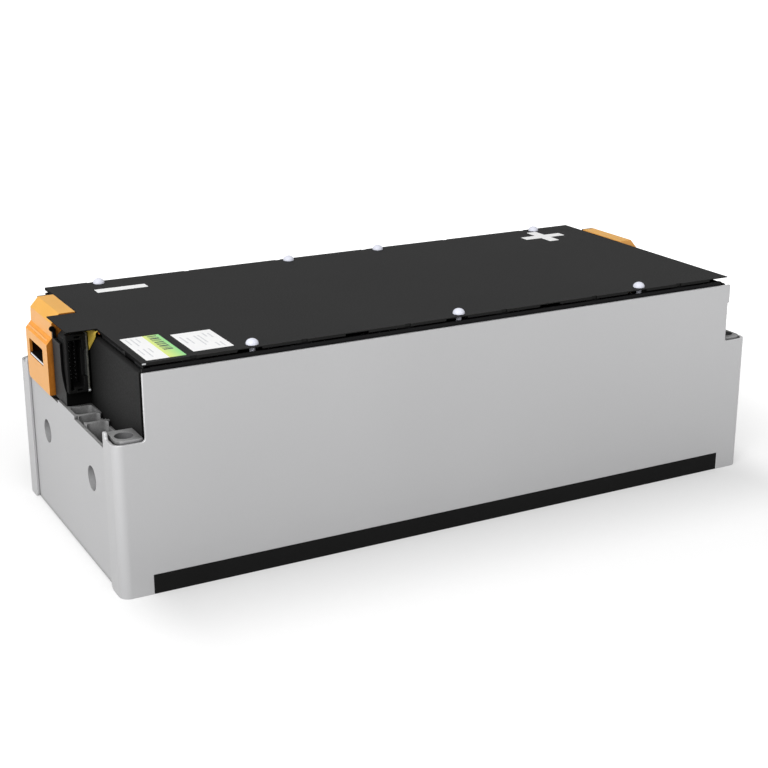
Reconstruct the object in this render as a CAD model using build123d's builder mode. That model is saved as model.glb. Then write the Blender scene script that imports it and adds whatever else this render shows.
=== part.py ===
from build123d import *
from math import cos, radians, sin
import os

# Battery module: a row of twelve flat prismatic cells, clamped between two end plates by two
# bent side plates, with a busbar carrier and a thin cover on top, an insulated terminal at
# each end and a signal socket at the left end.
# Millimetres. X runs along the row of cells, Y across it and Z up. The origin is in the
# middle of the underside, on the surface that the module stands on. Front is -Y, left is -X.

# Overall size
module_length = 355.0
module_width = 151.5
cover_top = 108.5
half_length = module_length / 2
half_width = module_width / 2

# Side plates, bent from sheet
sheet = 1.5
bend_radius = 5.0
flange_width = 14.75
corner_rim = 73.2
wall_left = 162.8
wall_right = 162.2
lip_overhang = 0.95
lip_bottom = 94.4
wall_top = 104.3
corner_fillet = 1.6
finger_width = 3.2
finger_top = 76.3
finger_fillet = 1.3
cutout_half_length = 162.2
cutout_height = 9.5
cutout_fillet = 0.4
inner_half_width = half_width - sheet
flange_edge = half_width - flange_width

# End plates, cast
end_plate_thickness = 13.0
end_plate_outer = half_length - sheet
end_plate_inner = end_plate_outer - end_plate_thickness
end_plate_bottom = 0.8
end_plate_top = 68.0
boss_top = 74.4
boss_inner_edge = 58.5
boss_chamfer = 0.6
top_edge_fillet = 0.7
bolt_spacing_x = 339.0
bolt_spacing_y = 133.0
bolt_hole_radius = 4.25
grip_spacing = 72.0
grip_height = 44.8
grip_radius = 6.0
grip_depth = 9.0
pocket_outer_wall = 1.5
pocket_inner_wall = 1.0
pocket_rib = 2.0
pocket_depth = 14.0
pocket_chamfer = 1.8
rib_centres = (0.0, 13.2, 25.6)
pocket_last_edge = 56.4

# Cells
cell_count = 12
cell_thickness = 26.2
cell_width = 148.0
cell_bottom = 1.0
can_height = 95.0
can_chamfer = 1.5
stack_half_length = 161.0
pad_width = 140.0
pad_height = 88.0
pad_bottom = 4.0
pad_thickness = (2 * stack_half_length - cell_count * cell_thickness) / (cell_count - 1)
cell_pitch = cell_thickness + pad_thickness
can_top = cell_bottom + can_height
post_offset = 46.0
post_length = 15.0
post_width = 24.0
post_height = 2.5
post_top = can_top + post_height
vent_length = 22.0
vent_width = 10.0
vent_depth = 0.5
vent_chamfer = 3.0

# Insulation round the cells
insulator_thickness = 1.5
insulator_inner = end_plate_inner - insulator_thickness
insulator_half_width = 72.8
insulator_bottom = 1.0
insulator_top = 102.6
insulator_fillet = 1.2
insulator_chamfer = 0.5
insulator_slot_clearance = 1.0
insulator_slot_bottom = post_top - 0.3
film = 0.25
film_top = 100.0
bottom_film = 0.3
strip_gap = 0.1
strip_recess = 0.15
strip_foot = 0.7
strip_foot_width = 9.6
end_pad_top = 90.0

# Busbar carrier
carrier_half_length = 158.3
carrier_half_width = 73.9
carrier_base = 1.2
carrier_wall = 1.4
carrier_rim = 106.1
carrier_end_rim = 101.0
corner_post = 2.0
window_length = 17.0
window_width = 26.0
vent_window_length = 16.0
vent_window_width = 20.0
support_count = 6
support_pitch = 2 * 26.8
support_start = -138.5
support_length = 8.0
support_thickness = 1.2
rib_offset = 14.8
rib_thickness = 1.2
rib_half_length = 156.0
flex_level = 104.0
divider_thickness = 1.2
divider_inner = 31.0
divider_top = 103.0
pin_boss_width = 6.8
pin_boss_top = 103.0
pin_hole_width = 2.9
pin_hole_bottom = 98.0

# Busbars
busbar_thickness = 2.0
busbar_length = 41.0
busbar_arch = 3.6
busbar_crown = 1.6
busbar_rise = 3.0
busbar_level = post_top + busbar_thickness / 2
output_inner = 138.0
output_drop = 166.2
output_level = 82.3
output_end = 177.6
output_bend = 2.2
output_centre = 40.0
output_width = 23.0
output_hole_radius = 2.75
output_hole_x = 171.5

# Terminal holders, nuts and covers
holder_bottom = end_plate_top
holder_near = 20.0
holder_far = 58.5
holder_back = 165.1
holder_back_top = 96.8
holder_block_outer = 176.2
holder_wall_outer = 170.5
holder_wall_top = 108.8
holder_wall = 1.5
nut_across_flats = 8.0
nut_height = 4.7
nut_hole_radius = 2.1
nut_clearance = 0.1
cap_near = 20.0
cap_far = 57.0
cap_wall = 1.5
cap_top = 108.9
cap_inner_edge = 162.6
cap_top_edge = 170.5
cap_shoulder_x = 174.7
cap_shoulder = 104.2
cap_step_x = 174.9
cap_step = 97.2
cap_front = 177.8
cap_front_top = 93.9
cap_bottom = 68.3
cap_side_edge = 167.4
cap_side_bottom = 100.9
cap_clearance = 0.1
cap_corner_fillet = 3.0
window_near = 28.3
window_far = 51.7
window_bottom = 81.1
window_top = 89.6

# Signal socket, its bracket, board and flexible circuit
socket_outer = 173.6
socket_inner = 165.0
socket_front = -2.2
socket_back = 14.0
socket_bottom = 75.2
socket_top = 104.0
socket_chamfer = 3.6
socket_frame_outer = 174.5
socket_frame_depth = 3.5
mouth_outer = 173.3
mouth_inner = 166.8
mouth_depth = 11.0
mouth_step = 1.0
socket_end_wall = 2.8
socket_centre = (socket_bottom + socket_top) / 2
latch_length = 2.4
latch_height = 0.8
latch_depth = 5.0
key_width = 1.7
key_height = 1.4
slot_count = 5
slot_pitch = 4.0
slot_height = 1.8
side_slot_half_height = 6.7
pin_rows = 2
pins_per_row = 10
pin_pitch = 2.0
pin_row_pitch = 2.4
pin_size = 0.64
pin_length = 4.4
board_outer = 164.9
board_thickness = 1.6
board_near = -2.5
board_far = 16.0
board_bottom = 74.8
board_top = 104.4
bracket_outer = 174.8
bracket_wall = 1.0
bracket_near = 1.5
bracket_far = 19.8
bracket_waist = 7.4
bracket_top = 97.6
bracket_floor = 74.8
bracket_rear = 16.2
hook_width = 1.5
hook_top = 102.0
hook_radius = 1.3
flex = 0.25
flex_half_width = 15.0
flex_neck_half_width = 10.4
flex_end = 150.0
flex_tail_x = 161.3
flex_tail_bottom = 95.1
flex_tab_near = 3.0
flex_tab_far = 14.0
notch_near = -9.7
notch_far = 16.0
notch_corner = 0.8
notch_bottom = 94.6
tap_thickness = 0.3
tap_width = 5.0
tap_offset = 11.5
tap_inner = 12.0
tap_bend_in = 18.0
tap_bend_out = 30.0
tap_outer = 38.0
thermistor_length = 3.2
thermistor_width = 2.0
thermistor_height = 1.4
thermistor_places = (-94.0, 94.0)

# Cover, its pins, labels and marks
cover_thickness = 0.5
skirt_depth = 1.4
skirt_thickness = 0.8
cover_half_length = 162.2
cover_half_width = 74.15
cover_fillet = 0.3
tab_edge = 177.0
tab_near = -12.5
tab_far = 19.2
cover_notch_length = 2.8
cover_notch_depth = 0.8
skirt_gap_length = 12.0
skirt_side_gap = (-60.0, -48.0)
cover_hole_radius = 1.5
pin_sides = 12
stem_sides = 8
dome_turns = (0, 34, 66)
front_pins = (-108.8, -1.0, 106.9)
rear_pins = (-134.9, -26.6, 29.2, 135.3)
pin_line = 69.7
pin_head_radius = 2.95
pin_stem_radius = 1.35
pin_tip = 98.6
label_thickness = 0.1
banded_label = (-158.9, -140.5, -71.3, -35.1)
plain_label = (-136.1, -116.8, -68.1, -38.8)
mark_thickness = 0.1
mark_length = 26.8
mark_width = 6.4
plus_height = 25.0
minus_centre = (-128.0, 53.8)
plus_centre = (131.2, 53.4)

finished = []


def keep(builder, label):
    """Label a finished piece and put it on the list of pieces to write."""
    builder.part.label = label
    finished.append(builder.part)


def cell_x(index):
    """Middle of a cell along the row, counted from 0 at the left end."""
    return -stack_half_length + cell_thickness / 2 + index * cell_pitch


def joint_x(index):
    """Middle of the gap between cell number index and the next, counted from 0."""
    return cell_x(index) + cell_pitch / 2


def span(low, high):
    """Middle and length of a stretch from low to high."""
    return (low + high) / 2, high - low


def block(x_span, y_span, z_span, mode=Mode.ADD):
    """Add or cut a rectangular stretch of the part that is being built."""
    (x, length), (y, width), (z, height) = span(*x_span), span(*y_span), span(*z_span)
    with Locations((x, y, z)):
        Box(length, width, height, mode=mode)


support_places = [support_start + number * support_pitch for number in range(support_count)]
gap_places = [place + support_pitch / 2 for place in support_places[:-1]]
pin_places = [(x, -pin_line) for x in front_pins] + [(x, pin_line) for x in rear_pins]
front_bar_places = [joint_x(index) for index in range(0, cell_count - 1, 2)]
rear_bar_places = [joint_x(index) for index in range(1, cell_count - 1, 2)]

# Side plates: one sheet each, bent round the two vertical corners, cut down over the mounting
# corners and cut out along the foot. A rounded finger stands up at the left flange's free edge,
# and the wall's right edge has a small lip.
with BuildPart() as side_plate_front:
    with BuildSketch():
        RectangleRounded(module_length, module_width, bend_radius)
        RectangleRounded(
            module_length - 2 * sheet, module_width - 2 * sheet, bend_radius - sheet, mode=Mode.SUBTRACT
        )
        with Locations((0, half_width - flange_edge)):
            Rectangle(2 * module_length, module_width, mode=Mode.SUBTRACT)
    extrude(amount=wall_top)
    with BuildSketch(Plane.XZ.offset(flange_edge + finger_width)):
        with BuildLine():
            Polyline(
                (wall_right, corner_rim),
                (wall_right, lip_bottom),
                (wall_right + lip_overhang, lip_bottom),
                (wall_right + lip_overhang, wall_top),
                (module_length, wall_top),
                (module_length, corner_rim),
                close=True,
            )
        make_face()
        with Locations((-wall_left, corner_rim)):
            Rectangle(half_length, wall_top - corner_rim, align=(Align.MAX, Align.MIN))
    extrude(amount=module_width, mode=Mode.SUBTRACT)
    with BuildSketch(Plane.XZ.offset(flange_edge)):
        with Locations((-half_length, wall_top)):
            Rectangle(2 * bend_radius, 2 * (wall_top - finger_top))
        with Locations((half_length, wall_top)):
            Rectangle(2 * bend_radius, 2 * (wall_top - corner_rim))
    extrude(amount=finger_width, mode=Mode.SUBTRACT)
    with BuildSketch(Plane.XZ.offset(flange_edge)):
        Rectangle(2 * cutout_half_length, 2 * cutout_height)
    extrude(amount=module_width, mode=Mode.SUBTRACT)
    notch_corners = side_plate_front.edges().filter_by(Axis.Y).filter_by(
        lambda edge: abs(edge.center().Z - corner_rim) < sheet / 2
        and abs(edge.center().X) < wall_left + sheet
    )
    fillet(notch_corners, radius=corner_fillet)
    cutout_corners = side_plate_front.edges().filter_by(Axis.Y).filter_by(
        lambda edge: abs(edge.center().Z - cutout_height) < sheet / 2
    )
    fillet(cutout_corners, radius=cutout_fillet)
    finger_tips = side_plate_front.edges().filter_by(Axis.X).filter_by(
        lambda edge: abs(edge.center().Z - finger_top) < sheet / 2
    )
    fillet(finger_tips, radius=finger_fillet)
keep(side_plate_front, "side_plate_front")

with BuildPart() as side_plate_rear:
    mirror(side_plate_front.part, about=Plane.XZ)
keep(side_plate_rear, "side_plate_rear")

# End plates: castings with six open pockets in the top, a raised boss with a vertical bolt
# hole at each corner, and two blind grip holes in the outer face.
with BuildPart() as end_plate_left:
    with BuildSketch(Plane.XY.offset(end_plate_bottom)) as end_plan:
        with Locations((-(end_plate_outer + end_plate_inner) / 2, 0)):
            Rectangle(end_plate_thickness, 2 * inner_half_width)
        fillet(end_plan.vertices().sort_by(Axis.X)[:2], radius=bend_radius - sheet)
    extrude(amount=boss_top - end_plate_bottom)
    with BuildSketch(Plane.XY.offset(end_plate_top)):
        Rectangle(2 * module_length, 2 * boss_inner_edge)
    extrude(amount=boss_top, mode=Mode.SUBTRACT)
    top_edge = end_plate_left.edges().filter_by(Axis.Y).filter_by(
        lambda edge: abs(edge.center().Z - end_plate_top) < sheet / 2
    )
    fillet(top_edge.sort_by(Axis.X)[0], radius=top_edge_fillet)
    boss_rims = end_plate_left.faces().filter_by(Axis.Z).group_by(Axis.Z)[-1].edges()
    chamfer(boss_rims.filter_by(lambda edge: edge.center().X < -end_plate_inner - sheet), length=boss_chamfer)
    pocket_x, pocket_length = span(pocket_outer_wall - end_plate_outer, -end_plate_inner - pocket_inner_wall)
    pocket_starts = [centre + pocket_rib / 2 for centre in rib_centres]
    pocket_ends = [centre - pocket_rib / 2 for centre in rib_centres[1:]] + [pocket_last_edge]
    with BuildSketch(Plane.XY.offset(end_plate_top - pocket_depth)) as pocket_plan:
        for start, end in zip(pocket_starts, pocket_ends):
            with Locations((pocket_x, (start + end) / 2), (pocket_x, -(start + end) / 2)):
                Rectangle(pocket_length, end - start)
        chamfer(pocket_plan.vertices(), length=pocket_chamfer)
    extrude(amount=boss_top, mode=Mode.SUBTRACT)
    with Locations(Plane.XY.offset(boss_top)):
        with Locations((-bolt_spacing_x / 2, -bolt_spacing_y / 2), (-bolt_spacing_x / 2, bolt_spacing_y / 2)):
            Hole(bolt_hole_radius, depth=boss_top)
    with Locations(Plane((-end_plate_outer, 0, grip_height), x_dir=(0, 1, 0), z_dir=(-1, 0, 0))):
        with Locations((-grip_spacing / 2, 0), (grip_spacing / 2, 0)):
            Hole(grip_radius, depth=grip_depth)
keep(end_plate_left, "end_plate_left")

with BuildPart() as end_plate_right:
    mirror(end_plate_left.part, about=Plane.YZ)
keep(end_plate_right, "end_plate_right")

# End insulators: moulded plates between the end plates and the cells, slotted at the top for
# the output busbar. The left one is also notched for the flexible circuit.
with BuildPart() as end_insulator_right:
    with BuildSketch(Plane.YZ.offset(insulator_inner)) as insulator_face:
        middle, height = span(insulator_bottom, insulator_top)
        with Locations((0, middle)):
            Rectangle(2 * insulator_half_width, height)
        fillet(insulator_face.vertices().sort_by(Axis.Z)[-2:], radius=insulator_fillet)
        with Locations((output_centre, insulator_top)):
            Rectangle(
                output_width + 2 * insulator_slot_clearance,
                2 * (insulator_top - insulator_slot_bottom),
                mode=Mode.SUBTRACT,
            )
    extrude(amount=insulator_thickness)
    crest = end_insulator_right.edges().filter_by(Axis.Y).group_by(Axis.Z)[-1]
    chamfer(crest.filter_by(lambda edge: edge.center().X > end_plate_inner - film), length=insulator_chamfer)
keep(end_insulator_right, "end_insulator_right")

with BuildPart() as end_insulator_left:
    mirror(end_insulator_right.part, about=Plane.YZ)
    with BuildSketch(Plane.YZ.offset(-end_plate_inner)):
        with BuildLine():
            Polyline(
                (notch_near, insulator_top),
                (notch_corner, notch_bottom),
                (notch_far, notch_bottom),
                (notch_far, insulator_top),
                close=True,
            )
        make_face()
    extrude(amount=insulator_thickness, mode=Mode.SUBTRACT)
keep(end_insulator_left, "end_insulator_left")

# Insulating films: one down each side of the cells and one under them.
with BuildPart() as side_film_front:
    with BuildSketch(Plane.XZ.offset(cell_width / 2)):
        middle, height = span(cell_bottom, film_top)
        with Locations((0, middle)):
            Rectangle(2 * stack_half_length, height)
    extrude(amount=film)
keep(side_film_front, "side_film_front")

with BuildPart() as side_film_rear:
    mirror(side_film_front.part, about=Plane.XZ)
keep(side_film_rear, "side_film_rear")

with BuildPart() as bottom_film_sheet:
    with BuildSketch(Plane.XY.offset(cell_bottom - bottom_film)):
        Rectangle(2 * stack_half_length, cell_width)
    extrude(amount=bottom_film)
keep(bottom_film_sheet, "bottom_film")

# Foot strips: angle sections that fill the side plates' cut-outs and lie under the cells.
with BuildPart() as foot_strip_front:
    with BuildSketch(Plane.YZ.offset(-cutout_half_length + strip_gap)):
        with BuildLine():
            Polyline(
                (strip_recess - half_width, 0),
                (strip_recess - half_width, cutout_height - strip_gap),
                (-inner_half_width, cutout_height - strip_gap),
                (-inner_half_width, strip_foot),
                (strip_foot_width - half_width, strip_foot),
                (strip_foot_width - half_width, 0),
                close=True,
            )
        make_face()
    extrude(amount=2 * (cutout_half_length - strip_gap))
keep(foot_strip_front, "foot_strip_front")

with BuildPart() as foot_strip_rear:
    mirror(foot_strip_front.part, about=Plane.XZ)
keep(foot_strip_rear, "foot_strip_rear")

# Cells: each a sealed can with bevelled upright edges, a rupture vent and two terminal posts.
for number in range(cell_count):
    with BuildPart() as cell:
        with BuildSketch(Plane.XY.offset(cell_bottom)) as can_plan:
            with Locations((cell_x(number), 0)):
                Rectangle(cell_thickness, cell_width)
            chamfer(can_plan.vertices(), length=can_chamfer)
        extrude(amount=can_height)
        with BuildSketch(Plane.XY.offset(can_top)):
            with Locations((cell_x(number), -post_offset), (cell_x(number), post_offset)):
                Rectangle(post_length, post_width)
        extrude(amount=post_height)
        with BuildSketch(Plane.XY.offset(can_top)) as vent_plan:
            with Locations((cell_x(number), 0)):
                Rectangle(vent_width, vent_length)
            chamfer(vent_plan.vertices(), length=vent_chamfer)
        extrude(amount=-vent_depth, mode=Mode.SUBTRACT)
    keep(cell, f"cell_{number + 1:02d}")

# Foam pads between the cells and at both ends of the stack.
with BuildPart() as cell_pads:
    for number in range(cell_count - 1):
        with BuildSketch(Plane.YZ.offset(joint_x(number) - pad_thickness / 2)):
            with Locations((0, pad_bottom + pad_height / 2)):
                Rectangle(pad_width, pad_height)
        extrude(amount=pad_thickness)
keep(cell_pads, "cell_pads")

with BuildPart() as end_pads:
    for start in (-insulator_inner, stack_half_length):
        with BuildSketch(Plane.YZ.offset(start)):
            with Locations((0, (pad_bottom + end_pad_top) / 2)):
                Rectangle(pad_width, end_pad_top - pad_bottom)
        extrude(amount=insulator_inner - stack_half_length)
keep(end_pads, "end_pads")

# Busbar carrier: a moulded tray on the cell tops, with a window over every post and vent, a
# rim that is low at both ends, supports for the cover, ribs that hold the flexible circuit,
# and bosses for the pins.
with BuildPart() as carrier_frame:
    with BuildSketch(Plane.XY.offset(can_top)):
        Rectangle(2 * carrier_half_length, 2 * carrier_half_width)
        for number in range(cell_count):
            with Locations((cell_x(number), -post_offset), (cell_x(number), post_offset)):
                Rectangle(window_length, window_width, mode=Mode.SUBTRACT)
            with Locations((cell_x(number), 0)):
                Rectangle(vent_window_length, vent_window_width, mode=Mode.SUBTRACT)
    extrude(amount=carrier_base)
    with BuildSketch(Plane.XY.offset(can_top + carrier_base)):
        Rectangle(2 * carrier_half_length, 2 * carrier_half_width)
        Rectangle(
            2 * (carrier_half_length - carrier_wall),
            2 * (carrier_half_width - carrier_wall),
            mode=Mode.SUBTRACT,
        )
    extrude(amount=carrier_rim - can_top - carrier_base)
    with BuildSketch(Plane.XY.offset(can_top + carrier_base)):
        with Locations((0, -rib_offset), (0, rib_offset)):
            Rectangle(2 * rib_half_length, rib_thickness)
    extrude(amount=flex_level - can_top - carrier_base)
    divider_y, divider_length = span(divider_inner, carrier_half_width - carrier_wall / 2)
    with BuildSketch(Plane.XY.offset(can_top + carrier_base)):
        with Locations(
            *[(x, -divider_y) for x in rear_bar_places],
            *[(x, divider_y) for x in front_bar_places],
        ):
            Rectangle(divider_thickness, divider_length)
    extrude(amount=divider_top - can_top - carrier_base)
    support_y = carrier_half_width - carrier_wall - support_thickness / 2
    with BuildSketch(Plane.XY.offset(can_top + carrier_base)):
        with Locations(
            *[(place, -support_y) for place in support_places],
            *[(place, support_y) for place in support_places],
        ):
            Rectangle(support_length, support_thickness)
    extrude(amount=cover_top - cover_thickness - can_top - carrier_base)
    post_edge = carrier_half_width - corner_post
    for end_span in (
        (-module_length, carrier_wall - carrier_half_length),
        (carrier_half_length - carrier_wall, module_length),
    ):
        block(end_span, (-post_edge, post_edge), (carrier_end_rim, cover_top), mode=Mode.SUBTRACT)
    with BuildSketch(Plane.XY.offset(can_top + carrier_base)):
        with Locations(*pin_places):
            Rectangle(pin_boss_width, pin_boss_width)
    extrude(amount=pin_boss_top - can_top - carrier_base)
    with BuildSketch(Plane.XY.offset(pin_boss_top)):
        with Locations(*pin_places):
            Rectangle(pin_hole_width, pin_hole_width)
    extrude(amount=pin_hole_bottom - pin_boss_top, mode=Mode.SUBTRACT)
    slot_half_width = output_width / 2 + insulator_slot_clearance
    slot_y = (output_centre - slot_half_width, output_centre + slot_half_width)
    for end_span in ((-module_length, -rib_half_length), (rib_half_length, module_length)):
        block(end_span, slot_y, (can_top + carrier_base, cover_top), mode=Mode.SUBTRACT)
    flex_gap = rib_offset + rib_thickness
    block(
        (-module_length, -rib_half_length),
        (-flex_gap, flex_gap),
        (can_top + carrier_base, cover_top),
        mode=Mode.SUBTRACT,
    )
keep(carrier_frame, "carrier_frame")

# Series busbars: flat bars with a raised expansion fold, welded across the posts of two cells.
with BuildPart() as series_busbars:
    for side, places in ((-post_offset, front_bar_places), (post_offset, rear_bar_places)):
        for place in places:
            with BuildSketch(Plane.XZ.offset(-side - post_width / 2)):
                with BuildLine():
                    Polyline(
                        (place - busbar_length / 2, busbar_level),
                        (place - busbar_arch, busbar_level),
                        (place - busbar_crown, busbar_level + busbar_rise),
                        (place + busbar_crown, busbar_level + busbar_rise),
                        (place + busbar_arch, busbar_level),
                        (place + busbar_length / 2, busbar_level),
                    )
                trace(line_width=busbar_thickness)
            extrude(amount=post_width)
keep(series_busbars, "series_busbars")

# Output busbars: from the first and the last cell out over the insulator, down, and out again
# as a flat terminal tongue with a bolt hole.
with BuildPart() as output_busbar_negative:
    with BuildSketch(Plane.XZ.offset(-output_centre - output_width / 2)):
        with BuildLine():
            FilletPolyline(
                (-output_inner, busbar_level),
                (-output_drop, busbar_level),
                (-output_drop, output_level),
                (-output_end, output_level),
                radius=output_bend,
            )
        trace(line_width=busbar_thickness)
    extrude(amount=output_width)
    with Locations((-output_hole_x, output_centre, output_level + busbar_thickness / 2)):
        Hole(output_hole_radius, depth=busbar_thickness)
keep(output_busbar_negative, "output_busbar_negative")

with BuildPart() as output_busbar_positive:
    mirror(output_busbar_negative.part, about=Plane.YZ)
keep(output_busbar_positive, "output_busbar_positive")

# Terminal holders: moulded blocks that stand on the end plates, carry the terminal tongues
# and hold a captive nut under each.
nut_circumradius = nut_across_flats / 3**0.5
tongue_bottom = output_level - busbar_thickness / 2
with BuildPart() as terminal_holder_negative:
    with BuildSketch(Plane.XY.offset(holder_bottom)):
        back_x, back_length = span(-holder_back, -end_plate_inner)
        back_y, back_width = span(holder_near, holder_far)
        with Locations((back_x, back_y)):
            Rectangle(back_length, back_width)
    extrude(amount=holder_back_top - holder_bottom)
    with BuildSketch(Plane.XY.offset(holder_bottom)):
        block_x, block_length = span(-holder_block_outer, -holder_back)
        block_y, block_width = span(cap_near + cap_wall, cap_far - cap_wall)
        with Locations((block_x, block_y)):
            Rectangle(block_length, block_width)
    extrude(amount=tongue_bottom - holder_bottom)
    with BuildSketch(Plane.XY.offset(holder_bottom)):
        wall_x, wall_length = span(-holder_wall_outer, -end_plate_inner)
        with Locations((wall_x, holder_far - holder_wall / 2)):
            Rectangle(wall_length, holder_wall)
    extrude(amount=holder_wall_top - holder_bottom)
    with BuildSketch(Plane.XY.offset(tongue_bottom - nut_height - nut_clearance)):
        with Locations((-output_hole_x, output_centre)):
            RegularPolygon(nut_circumradius + nut_clearance, 6, rotation=30)
    extrude(amount=nut_height + nut_clearance, mode=Mode.SUBTRACT)
keep(terminal_holder_negative, "terminal_holder_negative")

with BuildPart() as terminal_holder_positive:
    mirror(terminal_holder_negative.part, about=Plane.YZ)
keep(terminal_holder_positive, "terminal_holder_positive")

with BuildPart() as terminal_nuts:
    with BuildSketch(Plane.XY.offset(tongue_bottom - nut_height)):
        with Locations((-output_hole_x, output_centre), (output_hole_x, output_centre)):
            RegularPolygon(nut_circumradius, 6, rotation=30)
            Circle(nut_hole_radius, mode=Mode.SUBTRACT)
    extrude(amount=nut_height)
keep(terminal_nuts, "terminal_nuts")

# Terminal covers: stepped shells, open at the bottom and towards the module, with a window in
# the front for the busbar that bolts on.
with BuildPart() as terminal_cover_negative:
    with BuildSketch(Plane.XZ.offset(-cap_far)):
        with BuildLine():
            Polyline(
                (-cap_inner_edge, cap_top),
                (-cap_top_edge, cap_top),
                (-cap_shoulder_x, cap_shoulder),
                (-cap_step_x, cap_step),
                (-cap_front, cap_front_top),
                (-cap_front, cap_bottom),
                (-cap_inner_edge, cap_bottom),
                close=True,
            )
        make_face()
    extrude(amount=cap_far - cap_near)
    open_sides = [
        terminal_cover_negative.faces().sort_by(Axis.Z)[0],
        terminal_cover_negative.faces().filter_by(Axis.X).sort_by(Axis.X)[-1],
    ]
    offset(amount=-cap_wall, openings=open_sides)
    block((-cap_side_edge, 0), (0, half_width), (0, cap_side_bottom), mode=Mode.SUBTRACT)
    block(
        (-end_plate_inner - cap_clearance, 0),
        (0, half_width),
        (0, insulator_top + cap_clearance),
        mode=Mode.SUBTRACT,
    )
    window_y, window_span = span(window_near, window_far)
    window_z, window_height = span(window_bottom, window_top)
    with BuildSketch(Plane.YZ.offset(-cap_front)):
        with Locations((window_y, window_z)):
            Rectangle(window_span, window_height)
    extrude(amount=cap_wall, mode=Mode.SUBTRACT)
    low_corner = terminal_cover_negative.edges().filter_by(Axis.X).filter_by(
        lambda edge: edge.center().Z < cap_bottom + film and edge.center().Y > cap_far - film
    )
    fillet(low_corner, radius=cap_corner_fillet)
keep(terminal_cover_negative, "terminal_cover_negative")

with BuildPart() as terminal_cover_positive:
    mirror(terminal_cover_negative.part, about=Plane.YZ)
keep(terminal_cover_positive, "terminal_cover_positive")

# Signal socket: a keyed two-row box header with its mouth towards the front. A thicker frame
# goes round the mouth, the outer wall has guide slots and the inner wall is open at one side.
mouth_x, mouth_width = span(-mouth_outer, -mouth_inner)
mouth_height = socket_top - socket_bottom - 2 * socket_end_wall
with BuildPart() as signal_socket:
    body_x, body_width = span(-socket_outer, -socket_inner)
    with BuildSketch(Plane.XZ.offset(-socket_back)) as socket_body:
        with Locations((body_x, socket_centre)):
            Rectangle(body_width, socket_top - socket_bottom)
        chamfer(socket_body.vertices().sort_by(Axis.Z)[-2:].sort_by(Axis.X)[0], length=socket_chamfer)
    extrude(amount=socket_back - socket_front - socket_frame_depth)
    frame_x, frame_width = span(-socket_frame_outer, -socket_inner)
    with BuildSketch(Plane.XZ.offset(-socket_front)):
        with Locations((frame_x, socket_centre)):
            Rectangle(frame_width, socket_top - socket_bottom)
    extrude(amount=-socket_frame_depth)
    with BuildSketch(Plane.XZ.offset(-socket_front)):
        with Locations((mouth_x, socket_centre)):
            Rectangle(mouth_width, mouth_height)
    extrude(amount=-socket_frame_depth, mode=Mode.SUBTRACT)
    with BuildSketch(Plane.XZ.offset(-socket_front - socket_frame_depth)):
        with Locations((mouth_x + mouth_step / 2, socket_centre)):
            Rectangle(mouth_width - mouth_step, mouth_height)
    extrude(amount=socket_frame_depth - mouth_depth, mode=Mode.SUBTRACT)
    with BuildSketch(Plane.XZ.offset(-socket_front - socket_frame_depth)):
        with Locations((mouth_step / 2 - mouth_outer, socket_centre)):
            with GridLocations(mouth_step, slot_pitch, 1, slot_count):
                Rectangle(mouth_step, slot_height)
    extrude(amount=-latch_depth, mode=Mode.SUBTRACT)
    with BuildSketch(Plane.XZ.offset(-socket_front)):
        with Locations(
            (mouth_x + latch_length / 2, socket_bottom + socket_end_wall / 2),
            (mouth_x + latch_length / 2, socket_top - socket_end_wall / 2),
        ):
            Rectangle(latch_length, latch_height)
        with Locations((-mouth_outer, socket_bottom + socket_end_wall)):
            Rectangle(key_width, key_height, align=(Align.MIN, Align.MAX))
    extrude(amount=-latch_depth, mode=Mode.SUBTRACT)
    block(
        (-mouth_inner, -socket_inner),
        (socket_front, socket_front + socket_frame_depth),
        (socket_centre - side_slot_half_height, socket_centre + side_slot_half_height),
        mode=Mode.SUBTRACT,
    )
keep(signal_socket, "signal_socket")

with BuildPart() as socket_pins:
    with BuildSketch(Plane.XZ.offset(-socket_front - mouth_depth)):
        with Locations((mouth_x, socket_centre)):
            with GridLocations(pin_row_pitch, pin_pitch, pin_rows, pins_per_row):
                Rectangle(pin_size, pin_size)
    extrude(amount=pin_length)
keep(socket_pins, "socket_pins")

with BuildPart() as socket_board:
    with BuildSketch(Plane.YZ.offset(-board_outer)):
        board_y, board_width = span(board_near, board_far)
        board_z, board_height = span(board_bottom, board_top)
        with Locations((board_y, board_z)):
            Rectangle(board_width, board_height)
    extrude(amount=board_thickness)
keep(socket_board, "socket_board")

# Socket bracket: a moulded seat on the end plate with a waisted outer wall and a small hook.
with BuildPart() as socket_bracket:
    with BuildSketch(Plane.YZ.offset(-bracket_outer)):
        with BuildLine():
            foot = Polyline(
                (bracket_near, bracket_floor),
                (bracket_near, holder_bottom),
                (bracket_far, holder_bottom),
                (bracket_far, bracket_top),
                (bracket_waist, bracket_top),
                (bracket_waist, bracket_floor + 2 * (bracket_waist - bracket_near)),
            )
            TangentArc(foot @ 1, foot @ 0, tangent=(0, -1))
        make_face()
    extrude(amount=bracket_wall)
    floor_x = (bracket_wall - bracket_outer, -end_plate_inner)
    block(floor_x, (bracket_near, bracket_far), (holder_bottom, bracket_floor))
    block(floor_x, (bracket_rear, bracket_far), (bracket_floor, bracket_top))
    block(
        (-bracket_outer, hook_width - bracket_outer),
        (bracket_far - hook_width, bracket_far),
        (bracket_top, hook_top),
    )
    with BuildSketch(Plane.XZ.offset(hook_width - bracket_far)):
        with Locations((-bracket_outer, hook_top)):
            Circle(hook_radius)
    extrude(amount=-hook_width)
keep(socket_bracket, "socket_bracket")

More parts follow.
